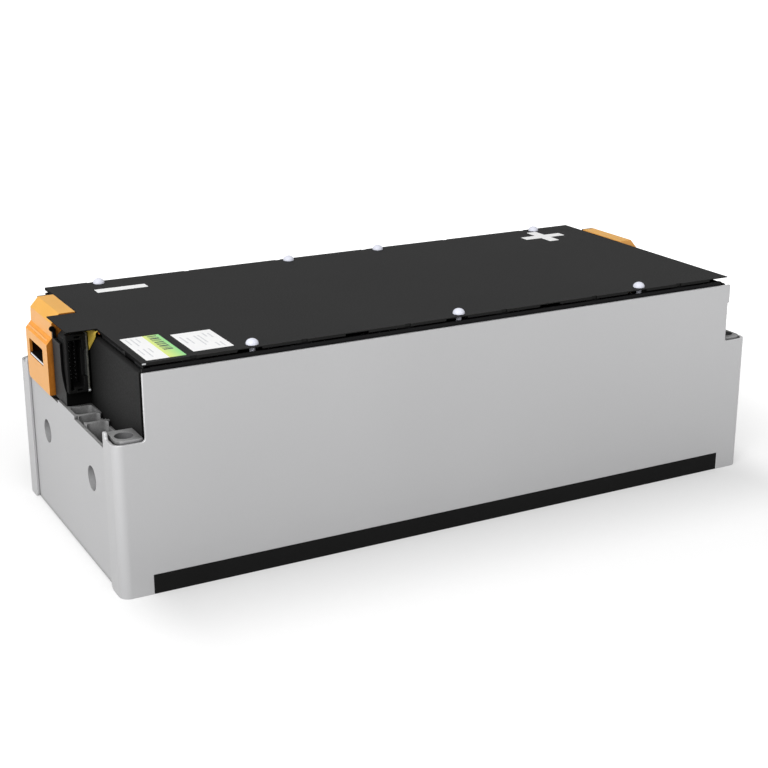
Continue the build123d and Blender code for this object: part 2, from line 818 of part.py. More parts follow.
# Flexible circuit: a thin printed strip on the carrier's ribs. A narrower neck at the left end
# turns down behind the insulator's notch and reaches out to the socket's board.
with BuildPart() as flex_circuit:
    with BuildSketch(Plane.XZ.offset(-flex_neck_half_width)):
        with BuildLine():
            Polyline(
                (-rib_half_length, flex_level + flex / 2),
                (-flex_tail_x, flex_level + flex / 2),
                (-flex_tail_x, flex_tail_bottom),
            )
        trace(line_width=flex)
    extrude(amount=2 * flex_neck_half_width)
    block(
        (-rib_half_length, flex_end),
        (-flex_half_width, flex_half_width),
        (flex_level, flex_level + flex),
    )
    block(
        (board_thickness - board_outer, -flex_tail_x),
        (flex_tab_near, flex_tab_far),
        (flex_tail_bottom, flex_tail_bottom + flex),
    )
keep(flex_circuit, "flex_circuit")

# Sensing tabs: thin bent strips from the flexible circuit to every busbar.
output_x = -cell_x(0)
with BuildPart() as sensing_tabs:
    tab_places = [(x + tap_offset, -1) for x in front_bar_places]
    tab_places += [(x + tap_offset, 1) for x in rear_bar_places]
    tab_places += [(-output_x, 1), (output_x, 1)]
    for x, side in tab_places:
        with BuildSketch(Plane.YZ.offset(x - tap_width / 2)):
            with BuildLine():
                Polyline(
                    (side * tap_inner, flex_level + flex + tap_thickness / 2),
                    (side * tap_bend_in, flex_level + flex + tap_thickness / 2),
                    (side * tap_bend_out, post_top + busbar_thickness + tap_thickness / 2),
                    (side * tap_outer, post_top + busbar_thickness + tap_thickness / 2),
                )
            trace(line_width=tap_thickness)
        extrude(amount=tap_width)
keep(sensing_tabs, "sensing_tabs")

with BuildPart() as thermistors:
    with BuildSketch(Plane.XY.offset(flex_level + flex)):
        with Locations(*[(x, 0) for x in thermistor_places]):
            Rectangle(thermistor_length, thermistor_width)
    extrude(amount=thermistor_height)
keep(thermistors, "thermistors")

# Cover: one thin sheet with a turned-down skirt and a tab over the socket. Its edge has small
# notches, its skirt has gaps, and there are holes for the pins.
with BuildPart() as top_cover:
    tab_y, tab_width = span(tab_near, tab_far)
    with BuildSketch(Plane.XY.offset(cover_top - skirt_depth)) as cover_plan:
        Rectangle(2 * cover_half_length, 2 * cover_half_width)
        with Locations((0, tab_y)):
            Rectangle(tab_edge, tab_width, align=(Align.MAX, Align.CENTER))
        outer_corners = cover_plan.vertices().filter_by(
            lambda point: abs(point.Y) > cover_half_width - film or point.X < film - tab_edge
        )
        fillet(outer_corners, radius=cover_fillet)
        with Locations(
            *[(place, -cover_half_width) for place in support_places],
            *[(place, cover_half_width) for place in support_places],
        ):
            Rectangle(cover_notch_length, 2 * cover_notch_depth, mode=Mode.SUBTRACT)
    extrude(amount=skirt_depth)
    with BuildSketch(Plane.XY.offset(cover_top - skirt_depth)):
        Rectangle(
            2 * (cover_half_length - skirt_thickness),
            2 * (cover_half_width - cover_notch_depth - skirt_thickness),
        )
        with Locations((0, tab_y)):
            Rectangle(
                tab_edge - skirt_thickness,
                tab_width - 2 * skirt_thickness,
                align=(Align.MAX, Align.CENTER),
            )
        with Locations(*[(place, 0) for place in gap_places]):
            Rectangle(skirt_gap_length, module_width)
        gap_y, gap_length = span(*skirt_side_gap)
        with Locations((0, gap_y)):
            Rectangle(half_length, gap_length, align=(Align.MAX, Align.CENTER))
    extrude(amount=skirt_depth - cover_thickness, mode=Mode.SUBTRACT)
    with BuildSketch(Plane.XY.offset(cover_top - cover_thickness)):
        with Locations(*pin_places):
            RegularPolygon(cover_hole_radius, stem_sides)
    extrude(amount=cover_thickness, mode=Mode.SUBTRACT)
keep(top_cover, "top_cover")

# Cover pins: push-in pins with domed heads. A dome is rings of one sphere, joined by flats.
with BuildPart() as cover_pins:
    for place in pin_places:
        with BuildSketch(Plane.XY.offset(pin_tip)):
            with Locations(place):
                RegularPolygon(pin_stem_radius, stem_sides)
        extrude(amount=cover_top - pin_tip)
    for place in pin_places:
        for turn in dome_turns:
            with BuildSketch(Plane.XY.offset(cover_top + pin_head_radius * sin(radians(turn)))):
                with Locations(place):
                    RegularPolygon(pin_head_radius * cos(radians(turn)), pin_sides)
        loft(ruled=True)
keep(cover_pins, "cover_pins")

# Labels and polarity marks: thin stickers on the cover.
for label_name, (low_x, high_x, low_y, high_y) in (
    ("banded_label", banded_label),
    ("plain_label", plain_label),
):
    with BuildPart() as sticker:
        with BuildSketch(Plane.XY.offset(cover_top)):
            with Locations(((low_x + high_x) / 2, (low_y + high_y) / 2)):
                Rectangle(high_x - low_x, high_y - low_y)
        extrude(amount=label_thickness)
    keep(sticker, label_name)

with BuildPart() as minus_mark:
    with BuildSketch(Plane.XY.offset(cover_top)):
        with Locations(minus_centre):
            Rectangle(mark_length, mark_width)
    extrude(amount=mark_thickness)
keep(minus_mark, "minus_mark")

with BuildPart() as plus_mark:
    with BuildSketch(Plane.XY.offset(cover_top)):
        with Locations(plus_centre):
            Rectangle(mark_length, mark_width)
            Rectangle(mark_width, plus_height)
    extrude(amount=mark_thickness)
keep(plus_mark, "plus_mark")

os.makedirs("parts", exist_ok=True)
for piece in finished:
    export_step(piece, f"parts/{piece.label}.step")
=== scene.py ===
"""The battery module, dressed: finishes, detailed pieces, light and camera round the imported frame.

Everything is in metres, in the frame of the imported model. Sizes are given in millimetres as
fields and turned into metres where a mesh is made. Front is -Y, left is -X.
"""

import logging
import math
from dataclasses import dataclass, replace
from enum import Enum
from typing import Callable, Iterable, Sequence

import bmesh
import bpy
from mathutils import Matrix, Vector


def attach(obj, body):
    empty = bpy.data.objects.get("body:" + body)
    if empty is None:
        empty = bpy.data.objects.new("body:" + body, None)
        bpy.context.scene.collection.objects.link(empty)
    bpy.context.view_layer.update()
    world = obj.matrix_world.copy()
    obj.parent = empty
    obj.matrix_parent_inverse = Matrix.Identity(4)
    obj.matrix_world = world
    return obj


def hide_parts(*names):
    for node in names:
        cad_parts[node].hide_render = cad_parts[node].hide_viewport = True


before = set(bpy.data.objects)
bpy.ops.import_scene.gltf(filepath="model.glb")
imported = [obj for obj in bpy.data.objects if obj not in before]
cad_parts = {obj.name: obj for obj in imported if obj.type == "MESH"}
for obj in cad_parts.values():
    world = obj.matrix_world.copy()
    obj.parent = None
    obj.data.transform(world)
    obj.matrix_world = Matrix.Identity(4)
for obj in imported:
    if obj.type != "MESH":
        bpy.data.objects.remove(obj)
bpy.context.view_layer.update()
LOG = logging.getLogger("module")

MM = 0.001
PHOTO_PIXELS = 768
SENSOR_MM = 36.0
WELD_MM = 0.002
ONE_PLANE = math.radians(0.4)
SHARP_EDGE = math.radians(35)
SHEET_EDGE = math.radians(50)
BLACK = (0.0, 0.0, 0.0, 1.0)
FAR = 10.0
DRIFT_SPAN = (0.3, 0.7)
# Range of the occlusion value that is turned into painted shade in gaps and hollows
SHADE_SPAN = (0.15, 0.85)
SPECKLE_SIZE = 1.7
SQUARE = ((-1, -1), (1, -1), (1, 1), (-1, 1))

# Places on the CAD's solids that part one finish from another, in millimetres
CAP_MIDDLE = (170.0, 38.7, 92.0)
CAP_LEDGE_TOP = 100.0
CAP_FACE = 176.3
CAP_SIDE = 20.5
COVER_END = -162.4
HOOK_FOOT = 98.0
SEAT_FOOT = 76.0
MOUTH_X = (-173.2, -165.2)
MOUTH_Z = (77.0, 102.0)
BAR_END = 168.6
CREST_FOOT = 102.0
GAP_Y = (-60.25, -47.75)

Point = tuple[float, float]
Corner = tuple[float, float, float]
Colour = tuple[float, float, float]
Span = tuple[float, float, float, float]
Block = tuple[Point, Point, Point]
Test = Callable[[Vector, Vector], bool]
Socket = bpy.types.NodeSocket
Source = Socket | float | Sequence[float]


def shade(red: float, green: float, blue: float) -> Colour:
    """Linear colour of a screen colour.

    Args:
        red, green, blue: the screen colour, each from 0 to 255.

    Returns:
        The same colour in linear light, each part from 0 to 1.
    """
    parts = [part / 255 for part in (red, green, blue)]
    return tuple(part / 12.92 if part <= 0.04045 else ((part + 0.055) / 1.055) ** 2.4 for part in parts)


def stood(name: str, data: bpy.types.ID) -> bpy.types.Object:
    """A new object in the scene.

    Args:
        name: its name.
        data: its mesh, lamp or camera.

    Returns:
        The object.
    """
    thing = bpy.data.objects.new(name, data)
    bpy.context.scene.collection.objects.link(thing)
    return thing


# Shapes


class Lie(Enum):
    """How a flat outline lies in the module: which axes its two numbers run along."""

    PLAN = "x and y, built up along z"
    FRONT = "x and z, built up along y"
    SIDE = "y and z, built up along x"

    def spot(self, first: float, second: float, depth: float) -> Vector:
        """Place of a point of the outline, in metres.

        Args:
            first, second: the point's two numbers, in millimetres.
            depth: how far along the third axis, in millimetres.

        Returns:
            The point in the module's frame.
        """
        order = {
            Lie.PLAN: (first, second, depth),
            Lie.FRONT: (first, depth, second),
            Lie.SIDE: (depth, first, second),
        }
        return Vector(order[self]) * MM


def rounded(corners: Sequence[Corner], steps: int = 8) -> list[Point]:
    """Outline with its corners rounded.

    Args:
        corners: the corners in order, each with its radius, in millimetres.
        steps: how many straight pieces make one rounded corner.

    Returns:
        The points of the outline in order.
    """
    points: list[Point] = []
    for index, (x, y, radius) in enumerate(corners):
        here = Vector((x, y))
        if radius <= 0:
            points.append((x, y))
            continue
        before = (Vector(corners[index - 1][:2]) - here).normalized()
        after = (Vector(corners[(index + 1) % len(corners)][:2]) - here).normalized()
        half = before.angle(after) / 2
        middle = here + (before + after).normalized() * (radius / math.sin(half))
        start = here + before * (radius / math.tan(half)) - middle
        end = here + after * (radius / math.tan(half)) - middle
        sweep = start.angle(end)
        for step in range(steps + 1):
            part = step / steps
            turn = (start * math.sin((1 - part) * sweep) + end * math.sin(part * sweep)) / math.sin(sweep)
            points.append(tuple(middle + turn))
    return points


def oblong(x_span: Point, y_span: Point, radius: float = 0.0) -> list[Corner]:
    """Corners of a rectangle, all with one radius.

    Args:
        x_span, y_span: low and high limits in millimetres.
        radius: the corner radius in millimetres.

    Returns:
        The four corners, anticlockwise.
    """
    (left, right), (low, high) = x_span, y_span
    return [(left, low, radius), (right, low, radius), (right, high, radius), (left, high, radius)]


def ring(centre: Point, radius: float, sides: int = 64) -> list[Point]:
    """Points round a circle.

    Args:
        centre: its middle in millimetres.
        radius: its radius in millimetres.
        sides: how many points.

    Returns:
        The points, anticlockwise.
    """
    turns = [2 * math.pi * side / sides for side in range(sides)]
    return [(centre[0] + radius * math.cos(turn), centre[1] + radius * math.sin(turn)) for turn in turns]


class Shape:
    """A mesh being made."""

    def __init__(self) -> None:
        """Start with an empty mesh."""
        self.mesh = bmesh.new()

    def face(self, points: Iterable[Vector]) -> bmesh.types.BMFace:
        """Add one flat face round these points."""
        return self.mesh.faces.new([self.mesh.verts.new(point) for point in points])

    def loft(self, sections: Iterable[Sequence[Vector]]) -> "Shape":
        """Add a solid through several sections, closed at both ends.

        Args:
            sections: the points round each one in metres, or one point where it ends in a tip.

        Returns:
            This shape.
        """
        bands = [[self.mesh.verts.new(point) for point in points] for points in sections]
        faces = [self.mesh.faces.new(band) for band in (bands[0], bands[-1][::-1]) if len(band) > 1]
        sides = max(len(band) for band in bands)
        for lower, upper in zip(bands, bands[1:]):
            for side in range(sides):
                after = (side + 1) % sides
                loop = (
                    lower[side % len(lower)],
                    upper[side % len(upper)],
                    upper[after % len(upper)],
                    lower[after % len(lower)],
                )
                faces.append(self.mesh.faces.new(list(dict.fromkeys(loop))))
        bmesh.ops.recalc_face_normals(self.mesh, faces=faces)
        return self

    def prism(self, outline: Sequence[Point], lie: Lie, low: float, high: float) -> "Shape":
        """Add a solid with one outline, given in millimetres like its two ends, all the way through."""
        return self.loft([lie.spot(u, v, depth) for u, v in outline] for depth in (low, high))

    def box(self, x_span: Point, y_span: Point, z_span: Point) -> "Shape":
        """Add a rectangular block, given its limits along X, Y and Z in millimetres."""
        return self.prism(rounded(oblong(x_span, y_span)), Lie.PLAN, *z_span)

    def turned(self, profile: Sequence[Point], centre: Point, sides: int = 48) -> "Shape":
        """Add a round solid with an upright axis.

        Args:
            profile: radius and height of its outline from bottom to top, in millimetres. The
                first and the last point lie on the axis.
            centre: where the axis stands, in millimetres.
            sides: how many flats go round it.

        Returns:
            This shape.
        """
        return self.loft(
            [Vector((x, y, height)) * MM for x, y in (ring(centre, radius, sides) if radius else [centre])]
            for radius, height in profile
        )

    @classmethod
    def of_node(cls, node: str) -> "Shape":
        """Start from a CAD node's own solids.

        Args:
            node: the node's name.

        Returns:
            A new shape with the node's faces, joined where they lie in one plane.
        """
        shape = cls()
        shape.mesh.from_mesh(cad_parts[node].data)
        bmesh.ops.remove_doubles(shape.mesh, verts=shape.mesh.verts, dist=WELD_MM * MM)
        bmesh.ops.dissolve_limit(
            shape.mesh,
            angle_limit=ONE_PLANE,
            use_dissolve_boundaries=False,
            verts=shape.mesh.verts,
            edges=shape.mesh.edges,
        )
        return shape

    def less(self, tool: "Shape") -> "Shape":
        """Cut another shape out of this one.

        Args:
            tool: the shape to cut away. It is used up.

        Returns:
            This shape.
        """
        body, cutter = (stood(name, bpy.data.meshes.new(name)) for name in ("body", "cutter"))
        for holder, source in ((body, self), (cutter, tool)):
            source.mesh.to_mesh(holder.data)
        cut = body.modifiers.new("cut", "BOOLEAN")
        cut.operation, cut.solver, cut.object = "DIFFERENCE", "EXACT", cutter
        graph = bpy.context.evaluated_depsgraph_get()
        result = bpy.data.meshes.new_from_object(body.evaluated_get(graph))
        self.mesh.clear()
        self.mesh.from_mesh(result)
        tool.mesh.free()
        for holder in (body, cutter):
            bpy.data.objects.remove(holder)
        return self

    def made(self, name: str) -> bpy.types.Mesh:
        """Turn the shape into a mesh, which uses it up.

        Args:
            name: the mesh's name.

        Returns:
            The mesh.
        """
        mesh = bpy.data.meshes.new(name)
        self.mesh.to_mesh(mesh)
        self.mesh.free()
        return mesh


# Finishes


@dataclass(frozen=True)
class Finish:
    """A surface: its screen colour, gloss and grain.

    The colour drifts slowly over drift_mm, the gloss and the relief follow a grain of grain_mm,
    which is drawn out along an axis by stretch. Where other surfaces come closer than the
    last field's reach in millimetres, the colour is darkened: painted shade in gaps and hollows.
    """

    name: str
    colour: Colour
    roughness: float = 0.5
    metallic: float = 0.0
    specular: float = 0.5
    drift: float = 0.06
    drift_mm: float = 60.0
    gloss_drift: float = 0.08
    grain_mm: float = 0.6
    relief_mm: float = 0.01
    speckle: float = 0.0
    stretch: Corner = (1.0, 1.0, 1.0)
    coat: float = 0.0
    shade_reach_mm: float = 0.0

    def material(self) -> bpy.types.Material:
        """The Blender material, made once.

        Returns:
            The material of this name, with its nodes.
        """
        found = bpy.data.materials.get(self.name)
        return found if found else self.make()

    def make(self) -> bpy.types.Material:
        """Lay the nodes.

        Returns:
            The new material.
        """
        bench = Bench(self.name)
        place = bench.place(self.stretch)
        tint = self.tint(bench, place)
        grain, drift = bench.noise(place, self.grain_mm, 3.0), self.gloss_drift
        for socket, source in (
            ("Metallic", self.metallic),
            ("Specular IOR Level", self.specular),
            ("Coat Weight", self.coat),
            ("Base Color", bench.with_painted_shade(tint, self.shade_reach_mm) if self.shade_reach_mm else tint),
            ("Roughness", bench.spread(grain, self.roughness - drift, self.roughness + drift)),
            ("Normal", bench.relief(grain, self.relief_mm)),
        ):
            bench.feed(bench.shader.inputs[socket], source)
        return bench.material

    def tint(self, bench: "Bench", place: Socket) -> Socket:
        """The colour over the surface.

        Args:
            bench: where the nodes are laid.
            place: the place on the surface.

        Returns:
            The colour's socket.
        """
        slow = bench.noise(place, self.drift_mm, 2.0)
        if self.speckle:
            fine = bench.noise(place, self.grain_mm * SPECKLE_SIZE, 1.0)
            fine = bench.maths("MULTIPLY", fine, self.speckle)
            slow = bench.maths("ADD", bench.maths("MULTIPLY", slow, 1 - self.speckle), fine)
        ends = [tuple(part * (1 + way * self.drift) for part in shade(*self.colour)) for way in (-1, 1)]
        return bench.ramp(slow, list(zip(DRIFT_SPAN, ends)))


@dataclass(frozen=True)
class BandedPrint(Finish):
    """White paper with one coloured band, which runs from one tint to another."""

    band_start: float = 0.0
    band_end: float = 1.0
    near: Colour = (255, 255, 255)
    far: Colour = (255, 255, 255)

    def tint(self, bench: "Bench", place: Socket) -> Socket:
        """The colour over the label: plain paper up to band_start, then the band.

        Args:
            bench: where the nodes are laid.
            place: the place on the surface.

        Returns:
            The colour's socket.
        """
        paper = super().tint(bench, place)
        along = bench.along(place, 0)
        part = bench.spread(along, 0.0, 1.0, (self.band_start * MM, self.band_end * MM))
        band = bench.ramp(part, [(0.0, shade(*self.near)), (1.0, shade(*self.far))])
        inside = bench.maths("GREATER_THAN", along, self.band_start * MM)
        return bench.choose(inside, paper, band)


@dataclass(frozen=True)
class TracedFilm(Finish):
    """Clear amber film over flat copper lines that run along X, side by side."""

    line_mm: float = 1.6
    line_share: float = 0.35
    line_colour: Colour = (255, 255, 255)

    def tint(self, bench: "Bench", place: Socket) -> Socket:
        """The colour over the film: lines darker than the film between them.

        Args:
            bench: where the nodes are laid.
            place: the place on the surface.

        Returns:
            The colour's socket.
        """
        film = super().tint(bench, place)
        pitches = bench.maths("DIVIDE", bench.along(place, 1), self.line_mm * MM)
        lines = bench.maths("GREATER_THAN", bench.maths("FRACT", pitches), 1 - self.line_share)
        return bench.choose(lines, film, (*shade(*self.line_colour), 1.0))


class Nodes:
    """Lays the nodes of a material or of the world."""

    def __init__(self, owner: "bpy.types.Material | bpy.types.World") -> None:
        """Work in the node tree of this material or world."""
        owner.use_nodes = True
        self.tree = owner.node_tree

    def feed(self, target: Socket, source: Source) -> None:
        """Lead a socket into an input, or set a plain value there.

        Args:
            target: the input.
            source: the socket, or the number or colour.
        """
        if isinstance(source, Socket):
            self.tree.links.new(source, target)
        else:
            target.default_value = source

    def add(self, kind: str, *sources: Source, **named: Source) -> bpy.types.Node:
        """Add a node and feed its inputs.

        Args:
            kind: the node's type, as its name goes on after ShaderNode.
            sources: a socket or a plain value for each input in turn.
            named: the same for inputs by name.

        Returns:
            The new node.
        """
        node = self.tree.nodes.new(f"ShaderNode{kind}")
        for key, source in [*enumerate(sources), *named.items()]:
            self.feed(node.inputs[key], source)
        return node

    def maths(self, work: str, *sources: Source) -> Socket:
        """A sum worked out from one or two values.

        Args:
            work: the kind of sum.
            sources: the values.

        Returns:
            The result's socket.
        """
        node = self.add("Math", *sources)
        node.operation = work
        return node.outputs[0]

    def spread(
        self, source: Socket, low: float, high: float, span: Point = (0.25, 0.75), kind: str = "LINEAR"
    ) -> Socket:
        """A value moved from one range to another and held at its ends.

        Args:
            source: the value.
            low, high: the new range.
            span: the old range.
            kind: how it climbs from one end to the other.

        Returns:
            The new value's socket.
        """
        node = self.add("MapRange", source, *span, low, high)
        node.interpolation_type = kind
        return node.outputs["Result"]

    def watched(self) -> Socket:
        """1 for the rays of the camera, of reflections and of see-through stuff, and 0 for light.

        Returns:
            The value's socket.
        """
        rays = self.add("LightPath").outputs
        seen = self.maths("MAXIMUM", rays["Is Camera Ray"], rays["Is Glossy Ray"])
        return self.maths("MAXIMUM", seen, rays["Is Transmission Ray"])


class Bench(Nodes):
    """Lays the nodes of one surface."""

    def __init__(self, name: str) -> None:
        """Start a material.

        Args:
            name: its name.
        """
        self.material = bpy.data.materials.new(name)
        super().__init__(self.material)
        self.shader = next(node for node in self.tree.nodes if node.type == "BSDF_PRINCIPLED")

    def place(self, stretch: Corner) -> Socket:
        """The place on the surface in metres, squeezed along each axis by stretch.

        Args:
            stretch: how many times longer the grain is along X, Y and Z.

        Returns:
            The place's socket.
        """
        where = self.add("TexCoord").outputs["Object"]
        return self.add("Mapping", where, Scale=tuple(1 / part for part in stretch)).outputs[0]

    def noise(self, place: Socket, size_mm: float, detail: float) -> Socket:
        """A soft random pattern from 0 to 1: its patches' size, and how many finer layers it has."""
        return self.add("TexNoise", Vector=place, Scale=1 / (size_mm * MM), Detail=detail).outputs["Fac"]

    def ramp(self, source: Socket, stops: Sequence[tuple[float, Colour]]) -> Socket:
        """A colour that follows a value.

        Args:
            source: the value from 0 to 1.
            stops: the places and the colours, two of them.

        Returns:
            The colour's socket.
        """
        node = self.add("ValToRGB", source)
        for element, (position, colour) in zip(node.color_ramp.elements, stops):
            element.position = position
            element.color = (*colour, 1.0)
        return node.outputs["Color"]

    def relief(self, height: Socket, depth_mm: float) -> Socket:
        """A surface normal that follows a pattern's height, which is depth_mm at the most."""
        return self.add("Bump", Height=height, Distance=depth_mm * MM).outputs["Normal"]

    def along(self, place: Socket, axis: int) -> Socket:
        """The place along one axis: 0 is X, 1 is Y and 2 is Z."""
        return self.add("SeparateXYZ", place).outputs[axis]

    def choose(self, share: Socket, first: Source, second: Source) -> Socket:
        """A colour between two others.

        Args:
            share: 0 for the first and 1 for the second.
            first, second: the two colours.

        Returns:
            The colour's socket.
        """
        node = self.add("Mix")
        node.data_type = "RGBA"
        for name, source in (("Factor", share), ("A", first), ("B", second)):
            self.feed(node.inputs[name], source)
        return node.outputs["Result"]

    def with_painted_shade(self, colour: Socket, reach_mm: float) -> Socket:
        """A colour with painted shade: it turns dark where other surfaces are closer than about reach_mm.

        Args:
            colour: the clean colour.
            reach_mm: how close they are, in millimetres.

        Returns:
            The colour's socket.
        """
        near = self.add("AmbientOcclusion", Distance=reach_mm * MM)
        near.samples = 6
        return self.choose(self.spread(near.outputs["AO"], 0.0, 1.0, SHADE_SPAN), BLACK, colour)


# Finishes with a gap reach are darkened in gaps and hollows: painted shade.
ROLLED_SHEET = Finish(
    "rolled_aluminium_sheet", (186, 186, 187), roughness=0.42, metallic=0.5, specular=0.3,
    drift=0.018, grain_mm=0.45, relief_mm=0.0035, speckle=0.25, gloss_drift=0.05,
    stretch=(1.0, 1.0, 2.4), drift_mm=90.0,
)
MACHINED_METAL = Finish(
    "machined_aluminium", (188, 188, 189), roughness=0.55, metallic=0.3, specular=0.3,
    drift=0.02, grain_mm=0.5, relief_mm=0.006, speckle=0.35, shade_reach_mm=5.0,
)
# Sheet edges painted lighter than the sheet: painted highlight, given to the front plate's edges only.
CUT_EDGE_HIGHLIGHT = Finish(
    "cut_sheet_edge_highlight", (210, 210, 211), roughness=0.4, metallic=0.4, specular=0.3, drift=0.05,
    drift_mm=3.0, grain_mm=0.3,
)
# Rough cast grain, painted darker than the machined metal on upward faces and in the pockets: painted shade.
CAST_METAL_SHADED = Finish(
    "cast_aluminium_painted_shade", (148, 148, 148), roughness=0.75, metallic=0.1, specular=0.2,
    drift=0.16, drift_mm=2.5, grain_mm=0.7, relief_mm=0.05, speckle=0.5, shade_reach_mm=11.5,
)
# Walls of the grip and bolt holes: the machined metal painted darker, painted shade inside the holes.
GRIP_WALL_SHADE = Finish(
    "grip_wall_painted_shade", (160, 160, 161), roughness=0.6, metallic=0.2, specular=0.2,
    drift=0.1, drift_mm=2.5, grain_mm=0.5, relief_mm=0.02, speckle=0.4, shade_reach_mm=5.0,
)
BOLT_HOLE_SHADE = replace(GRIP_WALL_SHADE, name="bolt_hole_painted_shade", colour=(106, 106, 107), shade_reach_mm=0.0)
COVER_SHEET = Finish(
    "dark_satin_sheet", (42, 42, 42), roughness=0.62, specular=0.04, drift=0.05,
    grain_mm=0.7, relief_mm=0.006, speckle=0.2,
)
# The cover's edge faces painted darker than its top, and its left edge darker still: painted shade.
COVER_EDGE_SHADE = Finish(
    "cover_edge_painted_shade", (34, 34, 34), roughness=0.6, specular=0.04, drift=0.08, grain_mm=0.6,
)
COVER_SHADE = Finish(
    "cover_left_edge", (18, 18, 18), roughness=0.7, specular=0.02, drift=0.1, grain_mm=0.6,
)
BLACK_MOULDING = Finish(
    "black_moulding", (22, 22, 23), roughness=0.55, specular=0.08, drift=0.08,
    grain_mm=0.5, relief_mm=0.008, speckle=0.2,
)
SEAT_MOULDING = Finish(
    "dark_grey_moulding", (53, 53, 53), roughness=0.55, specular=0.06, drift=0.05,
    grain_mm=0.5, relief_mm=0.008, speckle=0.2, shade_reach_mm=12.0,
)
# Near-black copy of the seat's moulding for its forward faces, hook and foot, and for the upstand seen
# through the cover's gap: painted shade.
SEAT_SHADE = Finish(
    "seat_painted_shade", (9, 9, 9), roughness=0.7, specular=0.03, drift=0.1, grain_mm=0.5,
)
INSULATOR_PLATE = Finish(
    "black_insulator_plate", (34, 34, 34), roughness=0.6, specular=0.05, drift=0.06,
    grain_mm=0.8, relief_mm=0.006, speckle=0.2, shade_reach_mm=55.0,
)
# The crest under the cover's edge painted darker: painted shade.
INSULATOR_CREST_SHADE = replace(
    INSULATOR_PLATE, name="insulator_crest_painted_shade", colour=(25, 25, 25), shade_reach_mm=0.0
)
SOCKET_MOULDING = Finish(
    "black_socket_moulding", (16, 16, 16), roughness=0.65, specular=0.03, drift=0.06,
    grain_mm=0.4, relief_mm=0.006, shade_reach_mm=4.0,
)
SOCKET_FRONT = Finish(
    "black_socket_front", (15, 15, 15), roughness=0.5, specular=0.12, drift=0.1,
    grain_mm=0.4, relief_mm=0.006,
)
BLACK_FILM = Finish(
    "black_film", (12, 12, 14), roughness=0.45, specular=0.1, drift=0.08, grain_mm=1.5,
)
FOOT_RUBBER = Finish(
    "black_foot_strip", (24, 24, 24), roughness=0.65, specular=0.05, drift=0.08, grain_mm=0.7,
)
ORANGE_MOULDING = Finish(
    "orange_moulding", (240, 174, 94), roughness=0.42, specular=0.2, drift=0.03,
    grain_mm=0.5, relief_mm=0.006, drift_mm=14.0,
)
# Upward faces of the caps in a deeper orange than the sides: painted difference of light between top and
# sides.
ORANGE_TOP_LIGHT = replace(ORANGE_MOULDING, name="orange_top_painted_light", colour=(241, 178, 76))
# The ledge above the window painted darker and deeper: painted shade.
ORANGE_LEDGE_SHADE = replace(
    ORANGE_MOULDING, name="orange_ledge_painted_shade", colour=(240, 160, 60), roughness=0.45,
    specular=0.15, drift=0.06, drift_mm=5.0,
)
# Dark brown copy of the orange for the cap's side by the socket and its window's thickness: painted shade,
# over a vertical grain.
ORANGE_SIDE_SHADE = Finish(
    "orange_side_painted_shade", (164, 100, 34), roughness=0.6, specular=0.05, drift=0.2,
    drift_mm=1.6, grain_mm=0.5, relief_mm=0.02, speckle=0.4, stretch=(1.0, 1.0, 3.0), shade_reach_mm=2.2,
)
# Near-black copy of the orange for the inside of the caps: painted shade.
ORANGE_INSIDE_SHADE = Finish(
    "orange_inside_painted_shade", (52, 30, 10), roughness=0.7, specular=0.04, drift=0.2,
    drift_mm=2.0, grain_mm=0.4, speckle=0.4,
)
BRIGHT_BAR = Finish(
    "bright_busbar", (214, 216, 219), roughness=0.3, metallic=0.8, drift=0.03,
    grain_mm=0.4, relief_mm=0.003, stretch=(4.0, 1.0, 1.0),
)
# Black for the busbar's shank and the tongue's upper side: painted shade.
BAR_SHADE = Finish(
    "busbar_painted_shade", (20, 18, 14), roughness=0.6, specular=0.05, drift=0.1, grain_mm=0.6,
)
ZINC = Finish(
    "zinc_plating", (190, 190, 182), roughness=0.35, metallic=0.9, drift=0.04, grain_mm=0.3,
)
TINNED = Finish(
    "tinned_contact_tip", (196, 198, 200), roughness=0.35, metallic=0.3, drift=0.04, grain_mm=0.2,
)
# The contacts' tips painted lighter than their sides, which are painted near-black: painted light and shade
# in the socket's mouth.
POST_TIP = Finish(
    "contact_tip_painted_light", (112, 112, 114), roughness=0.45, metallic=0.2, drift=0.3, drift_mm=0.9,
    grain_mm=0.2,
)
CONTACT_SIDE_SHADE = Finish(
    "contact_side_painted_shade", (30, 30, 30), roughness=0.6, specular=0.1, drift=0.1, grain_mm=0.2,
)
BOARD_LACQUER = Finish(
    "board_lacquer", (50, 51, 50), roughness=0.4, specular=0.2, drift=0.2, drift_mm=3.0,
    grain_mm=0.3, coat=0.1,
)
BOARD_EDGE = Finish(
    "board_edge", (82, 82, 77), roughness=0.6, specular=0.1, drift=0.8, drift_mm=0.9,
    grain_mm=0.3, speckle=0.6,
)
AMBER_FILM = TracedFilm(
    "amber_film", (182, 156, 64), roughness=0.5, specular=0.1, drift=0.05, drift_mm=8.0,
    grain_mm=0.8, line_colour=(172, 146, 58), line_mm=3.4, line_share=0.2,
)
BROWN_FILM = Finish(
    "brown_film_end", (150, 88, 34), roughness=0.5, specular=0.1, drift=0.15, grain_mm=0.5,
)
